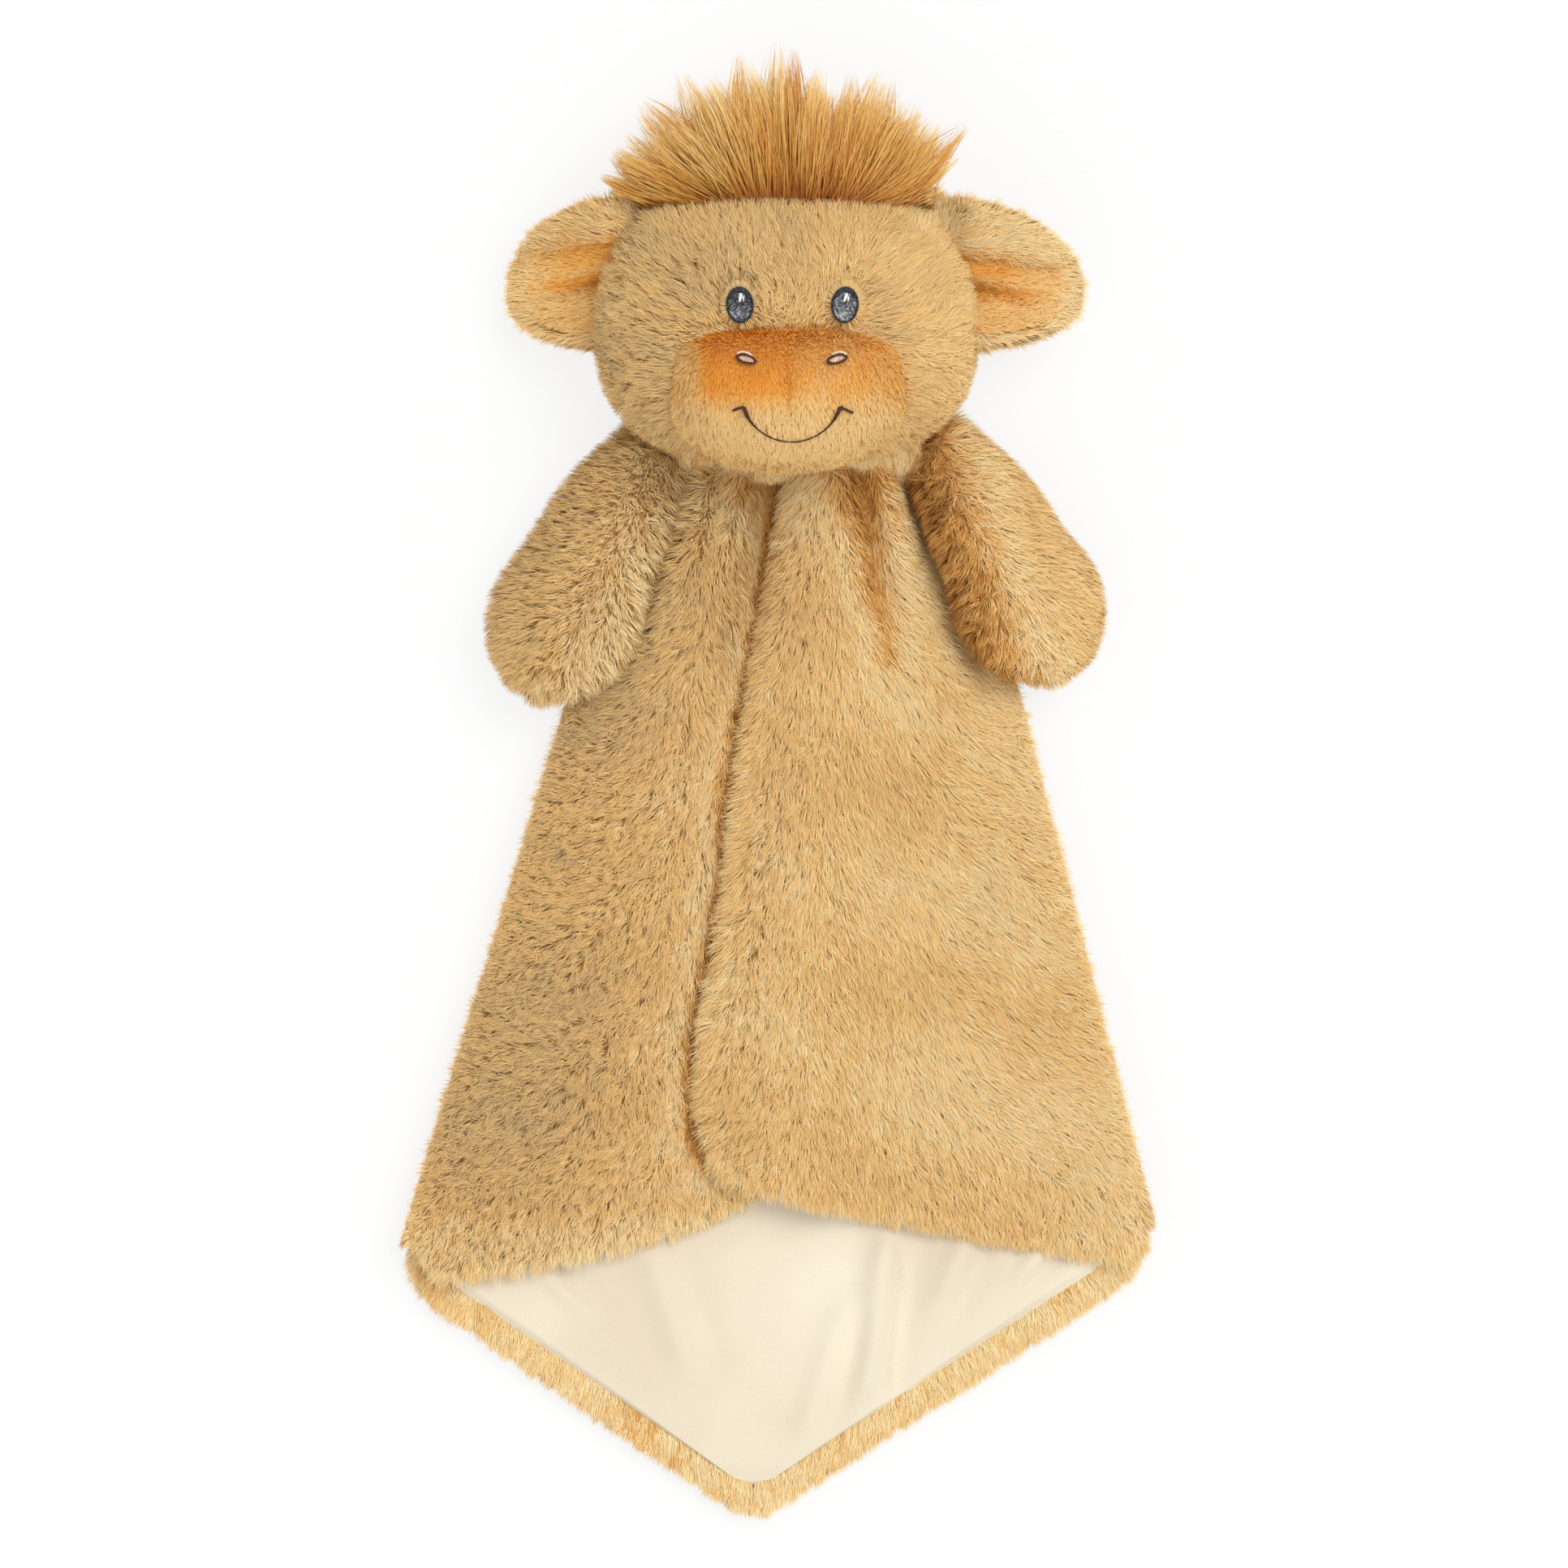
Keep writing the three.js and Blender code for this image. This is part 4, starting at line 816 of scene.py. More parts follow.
IRIS_TONE, IRIS_SLANT = {"left": 0.24, "right": 0.42}, {"left": 38, "right": -52}
for side in SIDES:
    # An eye: a small furred rise that carries the iris, its dark rim, the thicker line over it and the highlight
    centre = np.array(EYES[side])
    tilt = -SIGN[side] * 5.0
    ring = np.linspace(0, 2 * math.pi, 40, endpoint=False)
    oval = turned(np.stack([3.6 * np.cos(ring), 4.9 * np.sin(ring)], 1), (0, 0), tilt)
    plan = centre + oval[None] * np.linspace(1.35, 0.96, 6)[:, None, None]
    drop = np.linspace(-5.4, -1.5, 6)[:, None]
    pad = loft(raised(plan, face_z(plan[..., 0], plan[..., 1]) + drop))
    placed(make(f"eye_{side}_pad", pad, tan_cloth), rides("head"))
    pad_fur = grow(pad, 7, 2.6, lambda p, n: (p - (*centre, 66)) * (1, 1, 0) + (0, 0, -1.5), 61, lay=30,
                   tone=head_tone, pale=0.12, keep=lambda p, n, r: n[:, 2] < 0.95)
    strands(f"eye_{side}_pad_fur", [pad_fur], tan_fur, rides("head"))
    eye = f"eye_{side}"
    iris = fill_stitches(centre, 6.9, 9.3, tilt, 0.34, IRIS_SLANT[side], 0.65)
    upper = smooth((centre[1] + 1 - iris[:, 0, 1]) / 4)
    tones = IRIS_TONE[side] + 0.3 * upper + 0.28 * thread_rng.normal(size=len(iris))
    stitches(f"{eye}_iris_thread", iris, face_z, -0.9, 0.36, grey_thread, tones, f"{eye}_iris")
    rim = ring_stitches(centre, 7.6, 10.1, tilt, 0.7, 64)
    stitches(f"{eye}_outline_thread", rim, face_z, -0.5, 0.46, dark_thread, varied(rim), f"{eye}_outline")
    brow = on_upper_side(ring_stitches(centre + (0, 0.1), 7.5, 9.9, tilt, 1.5, 64), centre, 2.6)
    stitches(f"{eye}_lash_thread", brow, face_z, -0.35, 0.48, dark_thread, varied(brow))
    shine = fill_stitches(centre + (0.2, 2.0), 2.4, 3.0, tilt, 0.27, 80, 4.0)
    stitches(f"{eye}_highlight_thread", shine, face_z, -0.15, 0.42, white_thread, varied(shine), f"{eye}_highlight")

    # A nostril: its filled oval, its dark rim and the pale line over it
    centre = np.array([HEAD_X + 1 + SIGN[side] * 12.45, 114.7])
    tilt = SIGN[side] * 14.0
    nostril = f"nostril_{side}"
    fill = fill_stitches(centre, 4.2, 1.4, tilt, 0.34, 8, 0.9)
    stitches(f"{nostril}_fill_thread", fill, muzzle_z, 0.3, 0.4, pink_thread, varied(fill))
    rim = ring_stitches(centre, 6.0, 2.7, tilt, 0.65, 36)
    stitches(f"{nostril}_thread", rim, muzzle_z, 0.5, 0.4, brown_thread, varied(rim), f"{nostril}_stitch")
    crown = ring_stitches(centre + (SIGN[side] * 0.3, 0.9), 4.6, 2.6, tilt, 0.6, 30)
    stitches(f"{nostril}_light_thread", on_upper_side(crown, centre, 1.4), muzzle_z, 0.35, 0.4, pink_thread, 0.9)

# The mouth: one line, and three short stitches at each end of it
smile = np.radians(np.linspace(-159, -21, 30))
smile_line = np.stack([4 + 14.1 * np.cos(smile), 106.1 + 14.1 * np.sin(smile)], 1)
ends = [((-12.2, 100.6), (-9.3, 101.6)), ((-9.6, 101.9), (-8.2, 98.6)), ((-9.0, 101.6), (-7.6, 98.0)),
        ((20.9, 99.9), (17.6, 101.4)), ((17.9, 101.9), (16.0, 98.4)), ((17.2, 101.6), (15.6, 97.9))]
mouth = np.concatenate([np.stack([smile_line[:-1], smile_line[1:]], 1), np.array(ends)])
at_end = smooth((np.abs(mouth[:, 0, 0] - 4) - 9) / 4)
mouth_width = 0.4 + 0.3 * at_end + 0.08 * varied(mouth)
mouth_lift = (0.2 + 0.42 * varied(mouth) * (1 - at_end) + 0.5 * at_end)[:, None]
stitches("mouth_thread", mouth, muzzle_z, mouth_lift, mouth_width, brown_thread, varied(mouth) * 0.6, "mouth_stitch")


# Ears

EAR_ROOT = {side: np.array([HEAD_X + SIGN[side] * 40.8, 137.5, SEAM_Z]) for side in SIDES}
EAR_LAYBACK = {"left": 28.0, "right": 8.0}
EAR_LENGTH, EAR_WIDTH, EAR_DROOP, EAR_CUP = 41.0, 43.0, 4.0, 7.0
EAR_CREASE = {"left": 0.02, "right": -0.12}
EAR_TONE = {"left": 0.4, "right": 0.52}
EAR_FUR_FROM = {"left": 0.5, "right": 0.32}  # where across an ear the fur of its upper edge begins


def ear_points(side, u, v, lift, inset=0.0):
    """Points on an ear: u from root to rim, v across it, lift over its middle."""
    v = np.broadcast_to(v, np.broadcast(u, v).shape)
    reach = (EAR_LENGTH - inset) * np.maximum(0, 1 - np.abs(v) ** 2.3) ** (1 / 2.3) * u
    along = reach / EAR_LENGTH
    from_seam = mix(0.15, 1, smooth(along / 0.22))
    curl = EAR_CUP * np.abs(v) ** 1.6 * (1 - 0.6 * along) * from_seam
    crease = 4.8 * np.exp(-(((v - EAR_CREASE[side] + 0.25 * along) / 0.12) ** 2)) * smooth(1.2 - 1.4 * along)
    folded = 2.4 * smooth((v - EAR_FUR_FROM[side] + 0.04) / 0.12) * smooth((0.95 - along) / 0.3) * from_seam
    x = SIGN[side] * reach
    y = (EAR_WIDTH / 2 - inset * (1 - 0.6 * np.maximum(v, 0))) * v * (1 - 0.12 * along) - EAR_DROOP * along ** 2
    z = curl + lift - crease + folded
    turn = SIGN[side] * math.radians(EAR_LAYBACK[side])
    c, s = math.cos(turn), math.sin(turn)
    return np.stack([x * c + z * s, y, -x * s + z * c], -1) + EAR_ROOT[side]


def bare_of_lining(side, points):
    """True above and beside the lining, where an ear's front shows its fur."""
    along = np.abs(points[:, 0] - EAR_ROOT[side][0]) / math.cos(math.radians(EAR_LAYBACK[side])) / EAR_LENGTH
    v = (points[:, 1] - EAR_ROOT[side][1] + EAR_DROOP * along ** 2) / (EAR_WIDTH / 2 * (1 - 0.12 * along))
    rim = np.maximum(0, 1 - np.abs(v) ** 2.3) ** (1 / 2.3)
    return (v > EAR_FUR_FROM[side]) | (v < -0.7) | (along > 0.8 * rim)


for side in SIDES:
    sign = SIGN[side]
    fasten = bends()
    u = np.linspace(0, 1, 26)[None]
    v = np.sin(np.linspace(-1, 1, 45) * 1.35)[:, None] / math.sin(1.35) * 0.985
    front = ear_points(side, u, v, -0.6, 2.5)
    back = ear_points(side, u, v, -2.8, 2.5)
    placed(make(f"ear_{side}_cloth", slab(front, back), tan_cloth), fasten, f"ear_{side}_outer")
    low, high = (-0.92, 0.66) if side == "left" else (-0.93, 0.46)
    lining_v = low + (high - low) * np.linspace(0, 1, 40)[:, None]
    lining_u = np.linspace(0.12, 1, 26)[None]
    lining_top = ear_points(side, lining_u, lining_v, 0.1, 5.0)
    lining_under = ear_points(side, lining_u, lining_v, -0.4, 5.0)
    placed(make(f"ear_{side}_lining_cloth", slab(lining_top, lining_under), orange_cloth), fasten,
           f"ear_{side}_lining")

    def out(points, normals):
        away = (points - EAR_ROOT[side]) * (1.0, 0.75, 0.4)
        return unit(away + (sign * 8, 0, 0)) + 0.2 * waves(points, 16, 51)[:, None] * (0, 1, 0)

    def crease_shade_tone(points):
        """Darker and more orange in the crease, as painted shade, more orange above it, and paler towards the rim.
        """
        away = np.abs(points[:, 0] - EAR_ROOT[side][0])
        fold = EAR_ROOT[side][1] + 21.5 * EAR_CREASE[side] - 0.1 * away
        near = np.exp(-(((points[:, 1] - fold) / 2.4) ** 2)) * smooth((36 - away) / 18)
        above = smooth((points[:, 1] - fold - 2) / 4) * smooth((36 - away) / 24)
        return 0.3 + 0.42 * near + 0.34 * above - 0.12 * smooth((away - 16) / 16)

    front_surface, back_surface = grid(front), grid(back, up=False)
    on_front = grow(front_surface, 6.5, 5.8, out, 52, lay=38, tone=EAR_TONE[side], pale=0.26, curl=24,
                    keep=lambda p, n, r: bare_of_lining(side, p))
    on_back = grow(back_surface, 4.5, 6.2, out, 53, lay=30, tone=EAR_TONE[side], pale=0.26, curl=24)
    edge = [np.concatenate([layer[0, :-1], layer[:, -1], layer[-1, -2::-1]]) for layer in (front, back)]
    rim = grid(np.stack(edge, 1))
    rim.facing(rim.points - EAR_ROOT[side])
    on_rim = grow(rim, 12, 4.6, out, 55, lay=42, tone=EAR_TONE[side], pale=0.26, tousle=0.3)
    strands(f"ear_{side}_fur", [on_front, on_back, on_rim], tan_fur, fasten)
    nap = grow(grid(lining_top), 9, 2.5, out, 54, lay=38, width=0.22, spacing=1.2, drawn=0.35, tone=crease_shade_tone)
    strands(f"ear_{side}_nap", [nap], orange_plush, fasten)

    # The ear's gathered root at the head's seam
    ring = np.linspace(0, 2 * math.pi, 28, endpoint=False)[None]
    out_x = np.linspace(31, 41, 9)[:, None]
    round_off = np.sqrt(1 - np.linspace(-0.4, 0.97, 9)[:, None] ** 2)
    root = loft(np.stack([HEAD_X + sign * out_x + 0 * ring, 146 + 10 * round_off * np.cos(ring),
                          29.5 + 6.5 * round_off * np.sin(ring)], -1))
    placed(make(f"ear_{side}_root_cloth", root, tan_cloth), rides("head"))
    strands(f"ear_{side}_root_fur", [grow(root, 6, 4.6, out, 56, lay=40, tone=EAR_TONE[side], pale=0.3)],
            tan_fur, rides("head"))


# Arms

ARM_PLAN = {"left": ((-31, 93), (-50, 64), (-69, 19.8)), "right": ((42, 94), (61.5, 67), (80.5, 24.5))}
HAND, ELBOW, SHOULDER, ARM_THICK, ARM_LEAN = 42.0, 35.0, 24.0, 28.0, 7.0


def arm_rings(side, inset, rings=36, around=44):
    t = np.sin(np.linspace(0, 1, rings + 1) * math.pi / 2) ** 1.15
    centre = through(ARM_PLAN[side], t)
    tangent = unit(np.gradient(centre, t, axis=0))
    length = np.linalg.norm(np.diff(centre, axis=0), axis=1).sum()
    start = 1 - HAND / 2 / length
    half = np.where(t < 0.5, mix(SHOULDER, ELBOW, smooth(t / 0.5)), mix(ELBOW, HAND, smooth((t - 0.5) / 0.25))) / 2
    in_hand = np.clip((t - start) / (1 - start), 0, 1)
    close = np.sqrt(np.maximum(0, 1 - in_hand ** 2))
    full = 0.82 + 0.18 * smooth(t / 0.42)
    thick = np.maximum(ARM_THICK / 2 * close ** 0.8 * full - inset, 0.4)[:, None]
    angle = np.linspace(0, 2 * math.pi, around, endpoint=False)[None]
    lean = (ARM_LEAN * smooth(t / 0.42))[:, None]
    inner = smooth(-SIGN[side] * np.cos(angle) * 1.4)
    wide = np.maximum((half * close)[:, None] - inset * (1 - 0.55 * inner), 0.4)
    across = wide * np.cos(angle)
    shift = (inset * in_hand)[:, None]
    x = centre[:, :1] - tangent[:, 1:] * across - tangent[:, :1] * shift
    y = centre[:, 1:] + tangent[:, :1] * across - tangent[:, 1:] * shift
    z = ARM_THICK / 2 - 0.5 + thick * np.sin(angle) + lean / 2 - SIGN[side] * lean * across / (HAND / 2)
    return np.stack([x, y, np.maximum(z, 0.8)], -1)


# Blanket: plan of the folded front

def loose_x(side, y):
    return eased(np.minimum(y, NECK_Y), LOOSE_EDGE[side])


def fold_ends(side):
    sign = SIGN[side]
    return (np.array([NECK_EDGE_X[side] - 0.6 * sign, NECK_END_Y]),
            np.array([BEND[side][0] - 0.6 * sign, BEND[side][1]]),
            np.array([sign * (HALF_WIDTH - 1.2), CORNER_Y[side] + 2.6]))


def fold_x(side, y):
    points = np.array(fold_ends(side))[::-1]
    return np.interp(y, points[:, 1], points[:, 0])


def climb(x, y):
    """How far the right side has climbed onto the left one: 0 beside it, 1 on it."""
    return smooth((loose_x("left", y) + 24 - x) / 16)


def pleat_dip(side, x, y):
    below = np.maximum(0, NECK_Y - y)
    fade = 1 - smooth(below / 62)
    dip = 0
    for top, drift in PLEATS[side]:
        dip = dip + PLEAT_DEPTH[side] * fade * np.maximum(0, 1 - np.abs(x - top - drift * below / 62) / 6)
    return dip


def edge_rise(distance, radius):
    return np.sqrt(np.maximum(0, 1 - (1 - np.clip(distance / radius, 0, 1)) ** 2))


def front_top(side, x, y):
    """Level of the folded front's fur."""
    full = smooth((y + 2) / 78) * smooth((np.abs(x - fold_x(side, y)) - 7) / 9)
    if side == "right":
        up = climb(x, y)
        level = mix(FRONT_TOP_Z, OVER_TOP_Z, up)
        swell = mix(13, 6.5, up) * full * edge_rise(np.abs(x - loose_x(side, y)), 16)
        return level + swell - pleat_dip(side, x, y)
    free = smooth((loose_x("right", y) - x - 4) / 13)
    return mix(PRESSED_TOP_Z, FRONT_TOP_Z + 13 * full, free) - pleat_dip(side, x, y) * free


def front_base(side, x, y):
    """Underside of the folded front's lining."""
    if side == "left":
        return np.full(np.shape(x), FRONT_LINING_Z)
    return mix(FRONT_LINING_Z, OVER_LINING_Z, climb(x, y))


def front_plan(side, u, v, top_y=88.5):
    """Plan points of the folded front: u from the fold to the loose edge, v from the neck to the hem."""
    top, bend, low = fold_ends(side)
    corner = np.array(LOOSE_EDGE[side][-1])
    outer = np.array(OUTER_CORNER[side])
    start = np.array([fold_x(side, top_y), top_y])
    line = np.array([start, bend, low, mix(low, outer, 0.5) + (SIGN[side] * 1.5, 0), outer])
    run = np.concatenate([[0], np.cumsum(np.linalg.norm(np.diff(line, axis=0), axis=1))])
    along = [np.interp(v * run[-1], run, line[:, i]) for i in (0, 1)]
    fold = np.stack(along, -1)
    edge_y = mix(top_y, corner[1], v)
    edge = np.stack([loose_x(side, edge_y), edge_y], -1)
    first = mix(start, np.array([loose_x(side, top_y), top_y]), u[..., None])
    hem = through((outer, HEM_MIDDLE[side], corner), u)
    a, b = u[..., None], v[..., None]
    flat = ((1 - b) * first + b * hem + (1 - a) * fold + a * edge
            - ((1 - a) * (1 - b) * start + a * (1 - b) * first[..., -1:, :]
               + (1 - a) * b * outer + a * b * corner))
    return flat, fold, edge, hem


def front_grid(side, layer, rows=96, columns=64):
    """Grid of points of a layer of the folded front, from the neck to the hem."""
    ease = np.linspace(0, 1, columns)
    u = np.broadcast_to((ease - np.sin(2 * math.pi * ease) / (2 * math.pi) * 0.55)[None], (rows, columns))
    v = np.linspace(0, 1, rows)
    v = np.broadcast_to((v + np.sin(math.pi * v) ** 2 * 0.02)[:, None], (rows, columns))
    plan, fold, edge, hem = front_plan(side, u, v)
    x, y = plan[..., 0], plan[..., 1]
    low = front_base(side, x, y)
    wave = 0.7 * plan_waves(x, y, 42, 60 + SIGN[side])
    if layer == "lining":
        return np.stack([x, y, low + 0.6 + 0 * wave], -1)
    loose = np.linalg.norm(plan - edge, axis=-1)
    soft = (edge_rise(np.linalg.norm(plan - fold, axis=-1) + 1, 7) * edge_rise(loose + 0.6, 6)
            * edge_rise(np.linalg.norm(plan - hem, axis=-1) + 0.6, 6))
    turned_down = 1 - smooth(np.minimum(loose, np.linalg.norm(plan - hem, axis=-1)) / 2.6)
    under = low + 2.3 - 2.0 * turned_down
    rise = np.maximum(front_top(side, x, y) - FRONT_PILE + wave - under, 0.8)
    return np.stack([x, y, under + rise * soft], -1)


def inset_plan(points, margin):
    """Draws a grid of points in from its rim by about a margin."""
    rows, columns = points.shape[:2]
    middle = points[:, columns // 2, :2]
    shrunk = points.copy()
    width = np.linalg.norm(points[:, -1, :2] - points[:, 0, :2], axis=1)[:, None, None]
    shrunk[..., :2] = middle[:, None] + (points[..., :2] - middle[:, None]) * (1 - 2 * margin / width)
    height = np.abs(points[0, :, 1] - points[-1, :, 1])[None, :, None]
    centre = points[rows // 2, :, 1][None, :, None]
    shrunk[..., 1:2] = centre + (shrunk[..., 1:2] - centre) * (1 - 2 * margin / height)
    return shrunk


def across_left(points):
    """0 at the left front's fold, to 1 at its loose edge."""
    fold, loose = (edge("left", points[:, 1]) for edge in (fold_x, loose_x))
    return (points[:, 0] - fold) / np.maximum(loose - fold, 1)


def across_right(points):
    """0 at the right front's loose edge, to 1 at its fold."""
    fold, loose = (edge("right", points[:, 1]) for edge in (fold_x, loose_x))
    return (points[:, 0] - loose) / np.maximum(fold - loose, 1)


def lying(points, degrees, hem_y, hem_depth, hem_way, hem_share):
    """The way that a front's pile lies: an angle in plan, drawn downwards towards the hem."""
    turn = np.radians(degrees)
    flow = raised(np.stack([np.cos(turn), np.sin(turn)], 1), 0 * turn)
    hem = smooth((hem_y - points[:, 1]) / hem_depth)[:, None]
    return mix(flow, np.array([hem_way, -1.0, 0.0]), hem * hem_share)


def left_flow(points, normals):
    degrees = mix(196, 268, smooth(across_left(points) / 0.8) ** 1.3) + 14 * waves(points, 30, 71)
    return lying(points, degrees, -100, 25, -0.25, 0.8)


def right_flow(points, normals):
    degrees = np.interp(across_right(points), (0, 0.1, 0.4, 0.7, 1), (215, 250, 285, 318, 335))
    return lying(points, degrees + 12 * waves(points, 30, 72), -90, 30, 0.15, 0.75)


def pressed(side, points):
    """1 where the right front lies on the left one and presses its pile flat, and 0 elsewhere."""
    if side == "right":
        return np.zeros(len(points))
    return smooth((points[:, 0] - loose_x("right", points[:, 1]) - 6) / 4)


def left_tone(points):
    x, y, _ = points.T
    # Painted shadow: a dark brown band along the right front's loose edge, fading to the left, and absent where the
    # right front presses the pile flat. Painted shade: orange-brown towards the neck, under the head. Painted light:
    # the tone is lighter towards the loose edge on the right. It is also paler towards the hem.
    right_edge_shadow = np.exp(-np.maximum(loose_x("right", y) - 4 - x, 0) / 3) * smooth((y + 112) / 12)
    right_edge_shadow = right_edge_shadow * (1 - pressed("left", points))
    neck = smooth((y - 60) / 24)
    pale_hem = smooth((-112 - y) / 14)
    base = 0.22 + 0.24 * smooth(across_left(points)) ** 1.5 + 0.24 * pale_hem + 0.06 * waves(points, 38, 73)
    return np.clip(mix(mix(base, 0.84, neck * 0.65), 0.98, right_edge_shadow * 0.9), 0.04, 0.98)


def right_tone(points):
    x, y, _ = points.T
    # Painted shade: orange-brown in the pleat's valley and towards the neck, under the head. Painted light: the tone
    # is lighter towards the fold on the right.
    valley_x = np.interp(y, (15, 35, 51, 86), (35.4, 29, 25.8, 21.5))
    pleat_shade = np.exp(-(((x - valley_x) / 5.5) ** 2)) * smooth((y - 2) / 50)
    neck = smooth((y - 62) / 24)
    base = np.interp(across_right(points), (0, 0.08, 0.3, 0.6, 1), (0.38, 0.37, 0.38, 0.42, 0.48))
    base = base + 0.06 * waves(points, 40, 74)
    return np.clip(mix(base, 0.87, np.clip(0.9 * pleat_shade + 0.45 * neck, 0, 1)), 0.04, 0.92)


def left_front_side(points):
    """0 where the eye looks into the left front's pile, to 1 where the pile lies smooth."""
    return 0.1 + 0.7 * smooth(across_left(points) * 1.4 - 0.4)


def right_front_side(points):
    away = points[:, 0] - loose_x("right", points[:, 1])
    return np.maximum(0.25 + 0.75 * smooth((away - 4) / 26), 1.1 * smooth((8 - away) / 6))


def at_fold(side, points):
    """0 on the front, to 1 at its fold, where the pile is seen from the side."""
    x, y = points[:, 0], points[:, 1]
    return smooth((9 - np.abs(x - fold_x(side, y))) / 7)


FLOW = {"left": left_flow, "right": right_flow}
TONE = {"left": left_tone, "right": right_tone}
FRONT_SIDE = {"left": left_front_side, "right": right_front_side}



for side in SIDES:
    sign = SIGN[side]
    fasten = bends()
    top = front_grid(side, "fur")
    cloth = placed(make(f"front_{side}_cloth", slab(top, top - (0, 0, FRONT_CLOTH)), tan_cloth), fasten,
                   f"gather_{side}_fur", f"flap_{side}_fur")
    inner = inset_plan(front_grid(side, "lining"), 3.2)
    lining_slab = slab(inner + (0, 0, 0.5), inner - (0, 0, 0.6))
    lining = placed(make(f"front_{side}_lining", lining_slab, cream_lining), fasten,
                    f"gather_{side}_lining", f"flap_{side}_lining")
    # The pile's roots are darker where FRONT_SIDE is low, on the left front towards its fold and on the right front
    # a little in from its loose edge: painted shade.
    free = grow(grid(top), 5.5, lambda p: 6.6 - 1.4 * at_fold(side, p), FLOW[side], 80 + sign,
                lay=lambda p: mix(by(FRONT_SIDE[side], 59, 36)(p), 12, pressed(side, p)), tone=TONE[side],
                pale=by(FRONT_SIDE[side], 0.06, 0.2), tousle=by(FRONT_SIDE[side], 0.34, 0.2),
                drawn=lambda p: mix(by(FRONT_SIDE[side], 0.28, 0.24)(p), 0.1, at_fold(side, p)))
    strands(f"front_{side}_fur", [free], tan_fur, fasten)
    run = unit(np.array([*(np.array(ARM_PLAN[side][1]) - ARM_PLAN[side][0]), 0.0]))
    arm_fasten = bends()

    # The arm lies on the folded front, and is pressed in where it does.
    rings = arm_rings(side, PILE)
    x, y = rings[..., 0], rings[..., 1]
    inside = smooth(((x - fold_x(side, y)) * -sign + 1) / 6) * (y < 90)
    rest = inside * (front_top(side, x, np.minimum(y, 88)) - 1)
    rings[..., 2] = np.maximum(rings[..., 2], rest)
    arm = make(f"arm_{side}_form", loft(rings), tan_cloth)
    puffed(arm, 4.5, 1.5, lambda p: (p[:, 2] < 16) | (p[:, 1] > 80))
    arm_surface = read_back(arm)
    placed(arm, arm_fasten, f"arm_{side}_skin", f"arm_{side}_stuffing")
    line = np.array([through(ARM_PLAN[side], t) for t in np.linspace(0, 1, 30)])

    def arm_flow(points, normals):
        along = np.clip((93 - points[:, 1]) / 70, 0, 1)
        centre = np.stack([np.interp(along, np.linspace(0, 1, 30), line[:, i]) for i in (0, 1)], 1)
        away = (points[:, 0] - centre[:, 0]) * sign
        outer = smooth((away + 14) / 26)
        inner_way = np.array([-sign * 0.1, -1.0, 0.0])
        outer_way = np.array([sign * 1.0, -0.45, 0.0])
        flow = mix(inner_way, outer_way, outer[:, None])
        tip = smooth((34 - points[:, 1]) / 16)[:, None]
        return mix(flow, np.array([sign * 0.3, -1.0, 0.0]), tip * 0.8) + 0.25 * waves(points, 20, 91)[:, None]

    def arm_tone(points):
        # Painted shade: the right arm's inner half, beside the pleat, is orange-brown.
        inner = np.exp(-np.maximum((points[:, 0] - fold_x(side, points[:, 1])) * sign + 6, 0) / 6)
        away = smooth(((points[:, 0] - fold_x(side, points[:, 1])) * sign + 4) / 26)
        base = mix(0.42, 0.26, away) if side == "left" else mix(0.86, 0.35, away)
        return np.minimum(mix(base, 0.9, inner * 0.3) + 0.05 * waves(points, 24, 92), 0.9)

    def arm_side(points):
        away = (points[:, 0] - fold_x(side, points[:, 1])) * sign
        return 0.3 * smooth(-away / 10) if side == "left" else smooth((away + 4) / 20)

    # The pile's roots are darker on the left arm and on the right arm's inner side, where pale is low: painted
    # shade.
    grown = grow(arm_surface, 4.8, 6.0, arm_flow, 93 + sign, lay=by(arm_side, 64, 38), tone=arm_tone,
                 pale=by(arm_side, 0.06, 0.2), tousle=by(arm_side, 0.36, 0.2), drawn=by(arm_side, 0.28, 0.24),
                 keep=lambda p, n, r: (p[:, 2] > 8) | (r.random(len(p)) < 0.5))
    strands(f"arm_{side}_fur", [grown], tan_fur, arm_fasten)


# Blanket: the half that lies underneath

def back_outline(side, inset):
    """Plan points of one side of the blanket's outline, from the neck to the tip."""
    sign = SIGN[side]
    half = HALF_WIDTH - inset
    corner = np.array([sign * (half + 2.8), CORNER_Y[side] + inset / 2 - 10.4])
    slope = (CORNER_Y["left"] - TIP[1]) / math.hypot(half, CORNER_Y["left"] - TIP[1])
    tip = np.array([TIP[0], TIP[1] - 3.5 * slope + inset * 1.25])
    neck = np.array([NECK_EDGE_X[side] - sign * inset, NECK_END_Y])
    bend = np.array([BEND[side][0] - sign * inset, BEND[side][1]])

    def arc(before, at, after, radius):
        a = at + unit(before - at) * radius
        b = at + unit(after - at) * radius
        t = np.linspace(0, 1, 12)[:, None]
        return a * (1 - t) ** 2 + 2 * at * t * (1 - t) + b * t ** 2

    other = np.array([-corner[0], corner[1]])
    rounded_tip = arc(corner, tip, other, 7.0)[:6]
    line = np.vstack([neck, bend, arc(bend, corner, tip, 13.0), rounded_tip])
    run = np.concatenate([[0], np.cumsum(np.linalg.norm(np.diff(line, axis=0), axis=1))])
    return line, run


def outline_x(side, y, inset):
    line, _ = back_outline(side, inset)
    order = np.argsort(line[:, 1])
    return np.interp(y, line[order, 1], line[order, 0])


